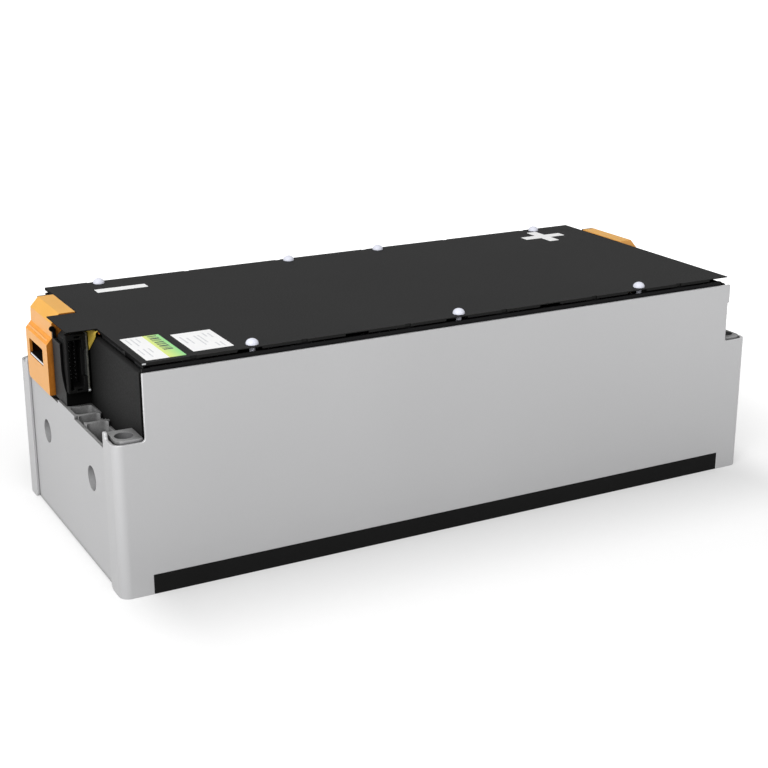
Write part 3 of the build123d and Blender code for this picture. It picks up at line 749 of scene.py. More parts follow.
# Cells wrapped near-black, so the gap beside the insulator reads dark: painted shade.
CELL_WRAP = Finish(
    "cell_wrap", (22, 24, 32), roughness=0.4, specular=0.3, drift=0.08, grain_mm=0.9,
)
FOAM = Finish(
    "pad_foam", (70, 70, 70), roughness=0.85, specular=0.1, drift=0.1, drift_mm=3.0,
    grain_mm=0.4, relief_mm=0.05,
)
WHITE_MOULDING = Finish(
    "white_moulding", (226, 228, 240), roughness=0.35, specular=0.3, drift=0.015,
    grain_mm=0.6, relief_mm=0.003,
)
LABEL_PAPER = Finish(
    "label_paper", (255, 255, 255), roughness=0.5, specular=0.2, drift=0.01, drift_mm=12.0,
    grain_mm=0.3, relief_mm=0.002,
)
BANDED_PAPER = BandedPrint(
    "banded_label_paper", (255, 255, 255), roughness=0.5, specular=0.2, drift=0.01,
    drift_mm=12.0, grain_mm=0.3, relief_mm=0.002, band_start=-148.4, band_end=-140.5,
    near=(234, 244, 138), far=(150, 226, 150),
)
GREY_INK = Finish(
    "grey_ink", (226, 227, 229), roughness=0.6, specular=0.2, drift=0.08, drift_mm=1.2,
    grain_mm=0.3,
)
DARK_INK = replace(
    GREY_INK, name="dark_ink", colour=(66, 72, 84), specular=0.1, drift_mm=2.0
)

NODE_FINISHES: dict[str, Finish] = {
    "cell_pads": FOAM,
    "end_pads": FOAM,
    "side_film_front": BLACK_FILM,
    "side_film_rear": BLACK_FILM,
    "bottom_film": BLACK_FILM,
    "series_busbars": BRIGHT_BAR,
    "sensing_tabs": BRIGHT_BAR,
    "terminal_nuts": ZINC,
    "thermistors": BLACK_MOULDING,
    **{f"cell_{number:02d}": CELL_WRAP for number in range(1, 13)},
}


# Pieces


@dataclass(frozen=True)
class Accent:
    """A finish for the faces that pass a test of their middle, in millimetres, and their normal."""

    finish: Finish
    covers: Test


def soften(
    piece: bpy.types.Object, edge: float, steps: int = 3, sharp: float = SHARP_EDGE
) -> bpy.types.Modifier:
    """Round a piece's edges, and keep its flat faces flat in the light beside them.

    Args:
        piece: the piece.
        edge: the rounding in millimetres.
        steps: how many flats make it.
        sharp: the angle between faces past which an edge is rounded.

    Returns:
        The modifier that rounds.
    """
    bevel = piece.modifiers.new("edges", "BEVEL")
    bevel.width, bevel.segments = edge * MM, steps
    bevel.limit_method, bevel.angle_limit = "ANGLE", sharp
    even = piece.modifiers.new("normals", "WEIGHTED_NORMAL")
    even.mode, even.weight, even.keep_sharp = "FACE_AREA", 80, True
    return bevel


@dataclass
class Assembly:
    """What the sub-assemblies share: how a finished shape becomes a piece of the scene."""

    def stand(
        self,
        name: str,
        shape: Shape,
        finish: Finish,
        slot: str,
        nodes: Sequence[str] = (),
        edge: float = 0.3,
        steps: int = 3,
        accents: Sequence[Accent] = (),
        plain_edges: bool = False,
    ) -> bpy.types.Object:
        """Put a shape into the scene as a piece.

        Args:
            name: the piece's name.
            shape: its shape, which is used up.
            finish: its finish.
            slot: the record's material slot; not used.
            nodes: the CAD nodes that it stands for.
            edge: the rounding of its edges in millimetres, or 0 for none.
            steps: how many flats make the rounding.
            accents: finishes that some of its faces have instead.
            plain_edges: whether every rounded edge has the first finish.

        Returns:
            The piece.
        """
        mesh = shape.made(name)
        mesh.shade_smooth()
        mesh.set_sharp_from_angle(angle=SHARP_EDGE)
        mesh.materials.clear()
        mesh.materials.append(finish.material())
        for index, accent in enumerate(accents, start=1):
            mesh.materials.append(accent.finish.material())
            for face in mesh.polygons:
                if accent.covers(face.center / MM, face.normal):
                    face.material_index = index
        piece = stood(name, mesh)
        if edge:
            bevel = soften(piece, edge, steps)
            bevel.miter_outer, bevel.material = "MITER_ARC", 0 if plain_edges else -1
        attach(piece, "root")
        if nodes:
            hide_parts(*nodes)
        LOG.info("%s: %d faces, %s", name, len(mesh.polygons), finish.name)
        return piece


class Place(Enum):
    """The two sides across the module: the number is the sign of Y."""

    FRONT = -1
    REAR = 1


class End(Enum):
    """The two ends of the module: the number is the sign of X."""

    LEFT = -1
    RIGHT = 1


@dataclass
class SidePlate(Assembly):
    """A side plate: a flat pattern of sheet, cut out and then bent round both corners.

    Lengths in millimetres run along the outside of the sheet, and heights from the floor.
    """

    place: Place
    half_length: float = 177.5
    half_width: float = 75.75
    sheet: float = 1.5
    bend_radius: float = 5.0
    flange: float = 14.75
    corner_rim: float = 73.2
    wall_left: float = 162.8
    wall_right: float = 162.2
    lip: float = 0.95
    lip_bottom: float = 94.4
    top: float = 104.3
    finger: float = 3.2
    finger_top: float = 76.3
    cutout_half_length: float = 162.2
    cutout_height: float = 9.5
    edge: float = 0.35
    bend_steps: int = 14

    def flat_half(self) -> float:
        """Length of the flat pattern from the middle of the wall to a flange's free edge."""
        return self.half_length - self.bend_radius + self.bend_length() + self.flange - self.bend_radius

    def bend_length(self) -> float:
        """Length of the sheet's outside round one bend."""
        return math.pi / 2 * self.bend_radius

    def bent(self, along: float, height: float) -> Vector:
        """Where a point of the flat pattern ends up.

        Args:
            along: how far it is from the middle of the wall, in millimetres.
            height: its height in millimetres.

        Returns:
            The point on the bent sheet's outside, in metres.
        """
        end = math.copysign(1, along)
        past = abs(along) - (self.half_length - self.bend_radius)
        x, y = abs(along), -self.half_width
        if past > self.bend_length():
            x, y = self.half_length, self.bend_radius - self.half_width + past - self.bend_length()
        elif past > 0:
            turn = past / self.bend_radius
            x = self.half_length - self.bend_radius * (1 - math.sin(turn))
            y = self.bend_radius * (1 - math.cos(turn)) - self.half_width
        return Vector((end * x, -self.place.value * y, height)) * MM

    def pattern(self) -> list[Point]:
        """Outline of the flat pattern.

        Returns:
            Its points, anticlockwise from the middle of its foot.
        """
        edge = self.flat_half()
        foot: list[Corner] = [
            (self.cutout_half_length, self.cutout_height, 0.4),
            (self.cutout_half_length, 0, 0),
            (edge, 0, 3.0),
        ]
        right = [
            (edge, self.corner_rim, 0.9),
            (self.wall_right, self.corner_rim, 1.6),
            (self.wall_right, self.lip_bottom, 0.3),
            (self.wall_right + self.lip, self.lip_bottom, 0.3),
            (self.wall_right + self.lip, self.top, 0.3),
        ]
        left = [
            (-self.wall_left, self.top, 0.4),
            (-self.wall_left, self.corner_rim, 1.6),
            (self.finger - edge, self.corner_rim, 1.2),
            (self.finger - edge, self.finger_top, 1.5),
            (-edge, self.finger_top, 1.5),
        ]
        left_foot = [(-x, z, radius) for x, z, radius in reversed(foot)]
        return rounded([*foot, *right, *left, *left_foot], steps=6)

    def build(self) -> None:
        """Cut the pattern, bend it and give it its thickness."""
        shape = Shape()
        shape.face(Vector((x, 0, z)) for x, z in self.pattern())
        start = self.half_length - self.bend_radius
        for step in range(self.bend_steps + 1):
            for end in End:
                line = end.value * (start + self.bend_length() * step / self.bend_steps)
                bmesh.ops.bisect_plane(
                    shape.mesh,
                    geom=[*shape.mesh.verts, *shape.mesh.edges, *shape.mesh.faces],
                    plane_co=(line, 0, 0),
                    plane_no=(1, 0, 0),
                )
        for vert in shape.mesh.verts:
            vert.co = self.bent(vert.co.x, vert.co.z)
        bmesh.ops.recalc_face_normals(shape.mesh, faces=shape.mesh.faces)
        side = self.place.name.lower()
        outside = Vector((0, self.place.value, 0))
        widest = max(shape.mesh.faces, key=lambda face: face.calc_area())
        if widest.normal.dot(outside) < 0:
            bmesh.ops.reverse_faces(shape.mesh, faces=shape.mesh.faces)
        piece = self.stand(
            f"{side}_side_plate", shape, ROLLED_SHEET, "side_plate", [f"side_plate_{side}"], edge=0.0
        )
        thick = piece.modifiers.new("sheet", "SOLIDIFY")
        thick.thickness, thick.offset, thick.use_even_offset = self.sheet * MM, -1, True
        # The front plate's cut edges get the painted highlight.
        if self.place is Place.FRONT:
            piece.data.materials.append(CUT_EDGE_HIGHLIGHT.material())
            thick.material_offset_rim = 1
        soften(piece, self.edge, sharp=SHEET_EDGE)


@dataclass
class EndPlate(Assembly):
    """An end plate: a casting with pockets in its top, corner bosses and two grip holes.

    In millimetres. The tools that cut it stand out by clear, and reach over the pockets' edges by
    overlap. skin is how far inside its inner, outer and side faces the pockets' faces begin.
    """

    end: End
    inner: float = 163.0
    outer: float = 176.0
    half_width: float = 74.25
    corner_radius: float = 3.5
    bottom: float = 0.8
    top: float = 68.0
    boss_top: float = 74.4
    boss_inner_edge: float = 58.5
    bolt_spot: Point = (169.5, 66.5)
    bolt_radius: float = 4.25
    grip_spot: Point = (36.0, 44.8)
    grip_radius: float = 6.0
    grip_depth: float = 9.0
    pocket_span: Point = (164.0, 174.5)
    pocket_depth: float = 14.0
    pocket_ends: tuple[Point, ...] = ((1.0, 12.2), (14.2, 24.6), (26.6, 56.4))
    pocket_radius: float = 2.0
    seat_gap: float = 1.0
    seat_bottom: float = 71.0
    outer_dip: float = 1.6
    inner_dip: float = 2.5
    dip_start: float = 13.4
    clear: float = 5.0
    overlap: float = 0.1
    skin: Corner = (0.3, 0.7, 1.6)
    slack: float = 0.2

    def plan(self, inset: float) -> list[Corner]:
        """Corners of the block seen from above.

        Args:
            inset: how far it is drawn in on its three outer sides, in millimetres.

        Returns:
            The four corners.
        """
        inner, outer = self.end.value * self.inner, self.end.value * (self.outer - inset)
        side = self.half_width - inset
        return [
            (inner, -side, 0),
            (outer, -side, self.corner_radius),
            (outer, side, self.corner_radius),
            (inner, side, 0),
        ]

    def shaded_cast_face(self, middle: Vector, normal: Vector) -> bool:
        """Whether a face gets the cast metal with painted shade: the upward faces and the pockets.

        Args:
            middle: the face's middle in millimetres.
            normal: the way it looks.

        Returns:
            The answer.
        """
        inner, outer, side = self.skin
        within = self.inner + inner < abs(middle.x) < self.outer - outer
        hidden = within and abs(middle.y) < self.half_width - side
        return (normal.z > 0.5 or hidden) and middle.z > self.top - self.pocket_depth - 1

    def in_grip(self, middle: Vector, normal: Vector) -> bool:
        """Whether a face is inside a grip hole."""
        away = math.hypot(abs(middle.y) - self.grip_spot[0], middle.z - self.grip_spot[1])
        return away < self.grip_radius + self.slack and abs(middle.x) < self.outer - self.skin[1]

    def in_bolt_hole(self, middle: Vector, normal: Vector) -> bool:
        """Whether a face is the wall of a bolt hole."""
        away = math.hypot(abs(middle.x) - self.bolt_spot[0], abs(middle.y) - self.bolt_spot[1])
        return away < self.bolt_radius + self.slack and abs(normal.z) < 0.5

    def build(self) -> None:
        """Cast the block, then cut its pockets and holes."""
        sign, wide, over = self.end.value, self.boss_inner_edge, self.boss_top + self.clear
        past_inner, past_outer = sign * (self.inner - self.clear), sign * (self.outer + self.clear)
        body = Shape().prism(rounded(self.plan(0.0)), Lie.PLAN, self.bottom, self.boss_top)
        body.less(Shape().box((past_inner, past_outer), (-wide, wide), (self.top, over)))
        seat = Shape().prism(rounded(self.plan(-1.0)), Lie.PLAN, self.seat_bottom, over)
        core = Shape().prism(rounded(self.plan(self.seat_gap)), Lie.PLAN, self.bottom, over + self.clear)
        body.less(seat.less(core))
        for span in ((self.dip_start, wide), (-wide, -self.dip_start)):
            outer_wall = (sign * (self.pocket_span[1] - self.overlap), past_outer)
            body.less(Shape().box(outer_wall, span, (self.top - self.outer_dip, over)))
        pockets = [((low, high), (-high, -low)) for low, high in self.pocket_ends]
        for span in (span for pair in pockets[1:] for span in pair):
            inner_wall = (past_inner, sign * (self.pocket_span[0] + self.overlap))
            body.less(Shape().box(inner_wall, span, (self.top - self.inner_dip, over)))
        tools = Shape()
        pocket_x = tuple(sorted(sign * x for x in self.pocket_span))
        for span in (span for pair in pockets for span in pair):
            corners = rounded(oblong(pocket_x, span, self.pocket_radius))
            tools.prism(corners, Lie.PLAN, self.top - self.pocket_depth, over)
        for side in Place:
            hole = ring((sign * self.bolt_spot[0], side.value * self.bolt_spot[1]), self.bolt_radius)
            tools.prism(hole, Lie.PLAN, self.bottom - self.clear, over)
            grip = ring((side.value * self.grip_spot[0], self.grip_spot[1]), self.grip_radius)
            tools.prism(grip, Lie.SIDE, sign * (self.outer - self.grip_depth), past_outer)
        body.less(tools)
        name = self.end.name.lower()
        self.stand(
            f"{name}_end_plate", body, MACHINED_METAL, "end_plate", [f"end_plate_{name}"], edge=0.45,
            accents=[
                Accent(CAST_METAL_SHADED, self.shaded_cast_face),
                Accent(GRIP_WALL_SHADE, self.in_grip),
                Accent(BOLT_HOLE_SHADE, self.in_bolt_hole),
            ],
            plain_edges=True,
        )


@dataclass
class CoverPins(Assembly):
    """The push-in pins that hold the cover down: domed heads on thin stems."""

    top: float = 108.5
    head_radius: float = 2.95
    head_rim: float = 0.35
    head_edge: float = 0.12
    head_height: float = 2.33
    stem_radius: float = 1.35
    tip: float = 98.6
    tip_length: float = 1.6
    tip_share: float = 0.55
    line: float = 69.7
    front: tuple[float, ...] = (-108.8, -1.0, 106.9)
    rear: tuple[float, ...] = (-134.9, -26.6, 29.2, 135.3)
    dome_steps: int = 12

    def profile(self) -> list[Point]:
        """Outline of a pin.

        Returns:
            Its radius and height, from its tip to the top of its dome.
        """
        rim, wide = self.top + self.head_rim, self.head_radius
        foot = [
            (0.0, self.tip),
            (self.stem_radius * self.tip_share, self.tip),
            (self.stem_radius, self.tip + self.tip_length),
            (self.stem_radius, self.top),
            (wide - self.head_edge, self.top),
            (wide, self.top + self.head_edge),
        ]
        turns = [math.radians(90 * step / self.dome_steps) for step in range(self.dome_steps)]
        dome = [(wide * math.cos(turn), rim + self.head_height * math.sin(turn)) for turn in turns]
        return [*foot, *dome, (0.0, rim + self.head_height)]

    def build(self) -> None:
        """Set every pin in its hole."""
        spots = [("front", x, -self.line) for x in self.front] + [("rear", x, self.line) for x in self.rear]
        for number, (side, x, y) in enumerate(spots, start=1):
            shape = Shape().turned(self.profile(), (x, y))
            self.stand(
                f"cover_pin_{side}_{number}", shape, WHITE_MOULDING, "pin", ["cover_pins"], edge=0.0
            )


@dataclass
class Stickers(Assembly):
    """The labels and the polarity marks on the cover, with generic bars for print."""

    level: float = 108.5
    thickness: float = 0.1
    ink: float = 0.02
    banded: Span = (-158.9, -140.5, -71.3, -35.1)
    stroke_x: Point = (-146.6, -142.2)
    plain: Span = (-136.1, -116.8, -68.1, -38.8)
    corner: float = 0.5
    mark_corner: float = 0.6
    mark_length: float = 26.8
    mark_width: float = 6.4
    plus_height: float = 25.0
    minus: Point = (-128.0, 53.8)
    plus: Point = (131.2, 53.4)

    def lay(
        self, name: str, outline: Sequence[Corner], finish: Finish, slot: str, node: str, steps: int = 8
    ) -> None:
        """Lay a sticker on the cover.

        Args:
            name: the piece's name.
            outline: its corners.
            finish: its finish.
            slot: the record's material slot.
            node: the CAD node that it stands for.
            steps: how many straight pieces make one rounded corner.
        """
        top = self.level + self.thickness
        shape = Shape().prism(rounded(outline, steps), Lie.PLAN, self.level, top)
        self.stand(name, shape, finish, slot, [node], edge=0.0)

    def bars(self, corner: Point, width: float, rows: Iterable[Corner]) -> list[Span]:
        """Limits along X and Y of bars of one width, each given by its place along X and its two ends."""
        x, y = corner
        return [(x + place, x + place + width, y - end, y - start) for place, start, end in rows]

    def print_bars(self, name: str, bars: Iterable[Span], ink: Finish) -> None:
        """Print bars on a label.

        Args:
            name: the piece's name.
            bars: the limits of each bar along X and Y, in millimetres.
            ink: the ink's finish.
        """
        shape = Shape()
        base = self.level + self.thickness
        for left, right, low, high in bars:
            shape.box((left, right), (low, high), (base, base + self.ink))
        self.stand(name, shape, ink, "label_plain", edge=0.0)

    def build(self) -> None:
        """Lay the labels, their print and the two marks."""
        for name, (left, right, low, high), finish in (
            ("banded_label", self.banded, BANDED_PAPER),
            ("plain_label", self.plain, LABEL_PAPER),
        ):
            paper = oblong((left, right), (low, high), self.corner)
            self.lay(f"{name}_sticker", paper, finish, f"label_{name.split('_')[0]}", name)
        left, right, low, high = self.banded
        lines = self.bars((left + 1.6, high - 2.2), 0.8, (
            (0.0, 0, 9), (2.4, 0, 12), (4.8, 0, 7), (0.0, 17, 26), (2.4, 17, 30), (4.8, 17, 24),
        ))
        self.print_bars("banded_label_print", lines, GREY_INK)
        strokes = []
        y = high - 1.5
        for width, gap in (
            (1.0, 1.3), (0.5, 0.9), (1.6, 1.2), (0.6, 0.8), (0.5, 1.6), (1.2, 1.1),
            (0.5, 0.9), (0.9, 1.5), (1.5, 0.9), (0.5, 1.2), (0.7, 0.9), (1.3, 0.0),
        ):
            strokes.append((*self.stroke_x, y - width, y))
            y -= width + gap
        self.print_bars("banded_label_strokes", strokes, DARK_INK)
        left, right, low, high = self.plain
        small = self.bars((left, high - 1.4), 0.9, (
            (2.0, 4, 15), (4.4, 7, 17), (8.4, 5, 21), (10.4, 5, 18),
            (13.4, 3, 9), (13.4, 19, 25), (15.6, 4, 11), (15.6, 19, 26),
        ))
        self.print_bars("plain_label_print", small, GREY_INK)
        half, arm, tall = self.mark_length / 2, self.mark_width / 2, self.plus_height / 2
        x, y = self.minus
        bar = oblong((x - half, x + half), (y - arm, y + arm), self.mark_corner)
        self.lay("minus_sticker", bar, LABEL_PAPER, "mark", "minus_mark")
        quarter = [
            (-half, -arm, self.mark_corner),
            (-arm, -arm, self.mark_corner / 2),
            (-arm, -tall, self.mark_corner),
        ]
        x, y = self.plus
        cross = [
            (x + right * u, y + up * v, radius)
            for right, up in ((1, 1), (-1, 1), (-1, -1), (1, -1))
            for u, v, radius in (quarter if right * up > 0 else quarter[::-1])
        ]
        self.lay("plus_sticker", cross, LABEL_PAPER, "mark", "plus_mark", 4)


@dataclass(frozen=True)
class SoftenedPart:
    """A part whose solid is right: it wants its edges rounded, and some parts a block trimmed away."""

    node: str
    piece: str
    finish: Finish
    slot: str
    edge: float
    accents: tuple[Accent, ...] = ()
    trim: Block | None = None


def cap_top(middle: Vector, normal: Vector) -> bool:
    """Whether a face of a terminal cover looks up."""
    return normal.z > 0.3


def cap_ledge(middle: Vector, normal: Vector) -> bool:
    """Whether a face of a terminal cover is on the ledge above its window, which gets painted shade."""
    return normal.z > 0.3 and middle.z < CAP_LEDGE_TOP


def cap_inside(middle: Vector, normal: Vector) -> bool:
    """Whether a face of a terminal cover is inside the shell, which gets painted shade: it looks towards the
    shell's middle.
    """
    x, y, z = CAP_MIDDLE
    return (Vector((math.copysign(x, middle.x), y, z)) - middle).dot(normal) > 0.5


def cap_reveal(middle: Vector, normal: Vector) -> bool:
    """Whether a face of a terminal cover is in its window's thickness, or its side by the socket: both get
    painted shade.
    """
    by_socket = middle.x < 0 and normal.y < -0.9 and middle.y < CAP_SIDE
    return by_socket or (abs(middle.x) > CAP_FACE and cap_inside(middle, normal))


def cover_rim(middle: Vector, normal: Vector) -> bool:
    """Whether a face of the cover is on its edge or under it: these get painted shade."""
    return normal.z < 0.5


def cover_shade(middle: Vector, normal: Vector) -> bool:
    """Whether a face of the cover is on its left edge or on its tab's edge."""
    return normal.z < 0.5 and (normal.x < -0.5 or middle.x < COVER_END)


def seat_front(middle: Vector, normal: Vector) -> bool:
    """Whether a face of the socket's seat looks forwards, or is on its hook: these get painted shade."""
    return normal.y < -0.5 or middle.z > HOOK_FOOT or (normal.z > 0.5 and middle.z < SEAT_FOOT)


def socket_front(middle: Vector, normal: Vector) -> bool:
    """Whether a face of the socket looks forwards, or up, or is inside its mouth."""
    in_mouth = MOUTH_X[0] < middle.x < MOUTH_X[1] and MOUTH_Z[0] < middle.z < MOUTH_Z[1]
    return normal.y < -0.5 or normal.z > 0.5 or in_mouth


def bar_shank(middle: Vector, normal: Vector) -> bool:
    """Whether a face of an output busbar is painted dark as shade: its shank, and the tongue's upper side.
    """
    return abs(middle.x) < BAR_END or normal.z > 0.5


CAP_ACCENTS = (
    Accent(ORANGE_TOP_LIGHT, cap_top),
    Accent(ORANGE_LEDGE_SHADE, cap_ledge),
    Accent(ORANGE_INSIDE_SHADE, cap_inside),
    Accent(ORANGE_SIDE_SHADE, cap_reveal),
)
BAR_ACCENTS = (Accent(BAR_SHADE, bar_shank),)
POLES = {"negative": End.LEFT, "positive": End.RIGHT}


def tongue_trim(end: End) -> Block:
    """The block that thins the upper side of an output busbar's tongue, in millimetres."""
    return tuple(sorted((end.value * 180.0, end.value * 168.7))), (20.0, 58.0), (82.35, 90.0)


@dataclass
class Mouldings(Assembly):
    """The parts that keep their solids' shape, with rounded edges, and the beads on the caps."""

    parts: tuple[SoftenedPart, ...] = (
        SoftenedPart("carrier_frame", "carrier_tray", BLACK_MOULDING, "carrier", 0.2),
        *(
            SoftenedPart(f"foot_strip_{side}", f"{side}_foot_strip", FOOT_RUBBER, "foot", 0.2)
            for side in ("front", "rear")
        ),
        *(
            SoftenedPart(
                f"terminal_cover_{pole}", f"{pole}_cap", ORANGE_MOULDING, "orange_cover", 0.3, CAP_ACCENTS
            )
            for pole in POLES
        ),
        *(
            SoftenedPart(f"terminal_holder_{pole}", f"{pole}_holder", BLACK_MOULDING, "insulator", 0.25)
            for pole in POLES
        ),
        *(
            SoftenedPart(
                f"output_busbar_{pole}", f"{pole}_tongue", BRIGHT_BAR, "busbar", 0.12, BAR_ACCENTS,
                tongue_trim(end),
            )
            for pole, end in POLES.items()
        ),
        SoftenedPart(
            "signal_socket", "socket_shell", SOCKET_MOULDING, "socket", 0.2,
            (Accent(SOCKET_FRONT, socket_front),),
        ),
        SoftenedPart(
            "socket_bracket", "socket_seat", SEAT_MOULDING, "carrier", 0.22,
            (Accent(SEAT_SHADE, seat_front),),
        ),
    )
    bead_spot: Point = (176.4, 95.4)
    bead_radius: float = 0.6
    bead_ends: Point = (22.5, 55.5)

    def build(self) -> None:
        """Take each solid over, trim it, round its edges, and lay a bead along each cap's ledge."""
        for part in self.parts:
            shape = Shape.of_node(part.node)
            if part.trim:
                shape.less(Shape().box(*part.trim))
            self.stand(part.piece, shape, part.finish, part.slot, [part.node], part.edge, 2, part.accents)
        x, z = self.bead_spot
        for end in End:
            bead = Shape().prism(ring((end.value * x, z), self.bead_radius, 20), Lie.FRONT, *self.bead_ends)
            self.stand(f"{end.name.lower()}_cap_bead", bead, ORANGE_MOULDING, "orange_cover", edge=0.2)


@dataclass
class Cover(Assembly):
    """The cover: a thin sheet whose edge is turned down, but not round the tab or at the right end."""

    underside: float = 108.0
    below: float = 106.0
    bare: tuple[Point, ...] = ((-178.0, -163.0), (149.8, 163.0))
    bare_front: tuple[Point, ...] = ((-14.0, 21.0), (-76.0, 10.0))
    # A small bright piece on the cover's left corner: a painted glint.
    glint: Block = ((-162.0, -160.2), (-74.19, -74.05), (107.7, 108.35))

    def build(self) -> None:
        """Trim the turned-down edge and lay a small bright piece at the left corner: a painted glint."""
        shape = Shape.of_node("top_cover")
        for x_span, y_span in zip(self.bare, self.bare_front):
            shape.less(Shape().box(x_span, y_span, (self.below, self.underside)))
        self.stand(
            "cover_sheet", shape, COVER_SHEET, "cover", ["top_cover"], edge=0.12, steps=2,
            accents=[Accent(COVER_EDGE_SHADE, cover_rim), Accent(COVER_SHADE, cover_shade)],
        )
        self.stand("cover_corner_glint", Shape().box(*self.glint), TINNED, "cover", edge=0.03)


def insulator_crest(middle: Vector, normal: Vector) -> bool:
    """Whether a face of an insulator is on its rounded upper edge, which gets painted shade."""
    return normal.z > 0.45 and middle.z > CREST_FOOT


def cover_gap(middle: Vector, normal: Vector) -> bool:
    """Whether a face of the left upstand is seen through the gap in the cover's edge: it gets painted shade.
    """
    return GAP_Y[0] < middle.y < GAP_Y[1]


@dataclass
class Insulator(Assembly):
    """An end insulator: a moulded plate with a rounded upper edge, and the tray's walls behind it."""

    end: End
    outer: float = 163.0
    inner: float = 161.5
    crest_inner: float = 161.0
    crest_height: float = 6.0
    half_width: float = 72.0
    bottom: float = 1.0
    top: float = 104.6
    crest_radius: float = 1.85
    bar_slot: tuple[Point, Point] = ((27.5, 52.5), (98.2, 110.0))
    notch: tuple[Corner, ...] = (
        (-13.2, 106.0, 0.0),
        (-11.4, 104.4, 1.0),
        (-9.0, 102.0, 2.0),
        (0.8, 94.5, 0.6),
        (16.0, 94.5, 0.6),
        (16.0, 106.0, 0.0),
    )
    left_walls: tuple[Block, ...] = (
        ((-160.7, -159.9), (-71.4, -60.3), (100.0, 107.0)),
        ((-160.7, -159.9), (-47.7, -14.6), (100.0, 107.0)),
        ((-160.7, -159.9), (17.0, 26.0), (100.0, 107.0)),
        ((-160.3, -159.7), (-60.2, -47.8), (100.0, 107.0)),
        ((-162.2, -157.9), (-73.9, -72.6), (100.2, 105.8)),
        ((-162.2, -157.9), (72.6, 73.9), (100.2, 105.8)),
    )
    right_walls: tuple[Block, ...] = (((108.0, 147.0), (-71.4, -70.6), (104.0, 107.2)),)

    def build(self) -> None:
        """Draw the plate's section out across the module, cut its slot and notch, and add the walls."""
        sign, name = self.end.value, self.end.name.lower()
        section: list[Corner] = [
            (self.outer, self.bottom, 0.3),
            (self.outer, self.top, self.crest_radius),
            (self.crest_inner, self.top, 0.0),
            (self.crest_inner, self.top - self.crest_height, 0.0),
            (self.inner, self.top - self.crest_height - 0.5, 0.0),
            (self.inner, self.bottom, 0.0),
        ]
        outline = [(sign * x, z) for x, z in rounded(section, 6)]
        shape = Shape().prism(outline, Lie.FRONT, -self.half_width, self.half_width)
        span = tuple(sorted((sign * (self.crest_inner - 1), sign * (self.outer + 1))))
        tools = Shape().box(span, *self.bar_slot)
        if self.end is End.LEFT:
            tools.prism(rounded(self.notch, 6), Lie.SIDE, *span)
        shape.less(tools)
        self.stand(
            f"{name}_insulator", shape, INSULATOR_PLATE, "insulator", [f"end_insulator_{name}"], edge=0.3,
            accents=[Accent(INSULATOR_CREST_SHADE, insulator_crest)],
        )
        upstand = Shape()
        for wall in self.left_walls if self.end is End.LEFT else self.right_walls:
            upstand.box(*wall)
        self.stand(
            f"{name}_tray_upstand", upstand, BLACK_MOULDING, "carrier", edge=0.2,
            accents=[Accent(SEAT_SHADE, cover_gap)],
        )


@dataclass
class Board(Assembly):
    """The circuit board behind the socket, with a tinned pad at its lower front corner."""

    faces: Point = (-165.0, -164.15)
    depth: Point = (-2.5, 16.0)
    height: Point = (74.8, 104.4)
    pad: Block = ((-165.0, -163.8), (-2.75, -1.8), (75.5, 76.4))

    def build(self) -> None:
        """Cut the board and set its pad."""
        board = Shape().prism(rounded(oblong(self.depth, self.height, 0.4)), Lie.SIDE, *self.faces)
        self.stand(
            "socket_circuit_board", board, BOARD_LACQUER, "board", ["socket_board"], edge=0.1, steps=2,
            accents=[Accent(BOARD_EDGE, lambda middle, normal: normal.y < -0.5)],
        )
        self.stand("board_pad", Shape().box(*self.pad), TINNED, "contact", edge=0.2, steps=2)


@dataclass
class Contacts(Assembly):
    """The socket's contacts: square posts with tapered tips."""

    middle: Point = (-170.05, 89.6)
    columns: Point = (-1.2, 1.2)
    rows: int = 10
    pitch: float = 2.0
    size: float = 0.64
    root: float = 8.8
    length: float = 4.4
    taper: float = 0.5
    point: float = 0.45

    def build(self) -> None:
        """Make all the posts as one piece."""
        shape = Shape()
        x, z = self.middle
        half, tip = self.size / 2, self.root - self.length
        levels = ((self.root, half), (tip + self.taper, half), (tip, half * self.point))
        for column in self.columns:
            for row in range(self.rows):
                u, v = x + column, z + (row - (self.rows - 1) / 2) * self.pitch
                shape.loft(
                    [Vector((u + a * size, y, v + b * size)) * MM for a, b in SQUARE] for y, size in levels
                )
        self.stand(
            "socket_contacts", shape, CONTACT_SIDE_SHADE, "contact", ["socket_pins"], edge=0.0,
            accents=[Accent(POST_TIP, lambda middle, normal: middle.y < tip + 0.1)],
        )


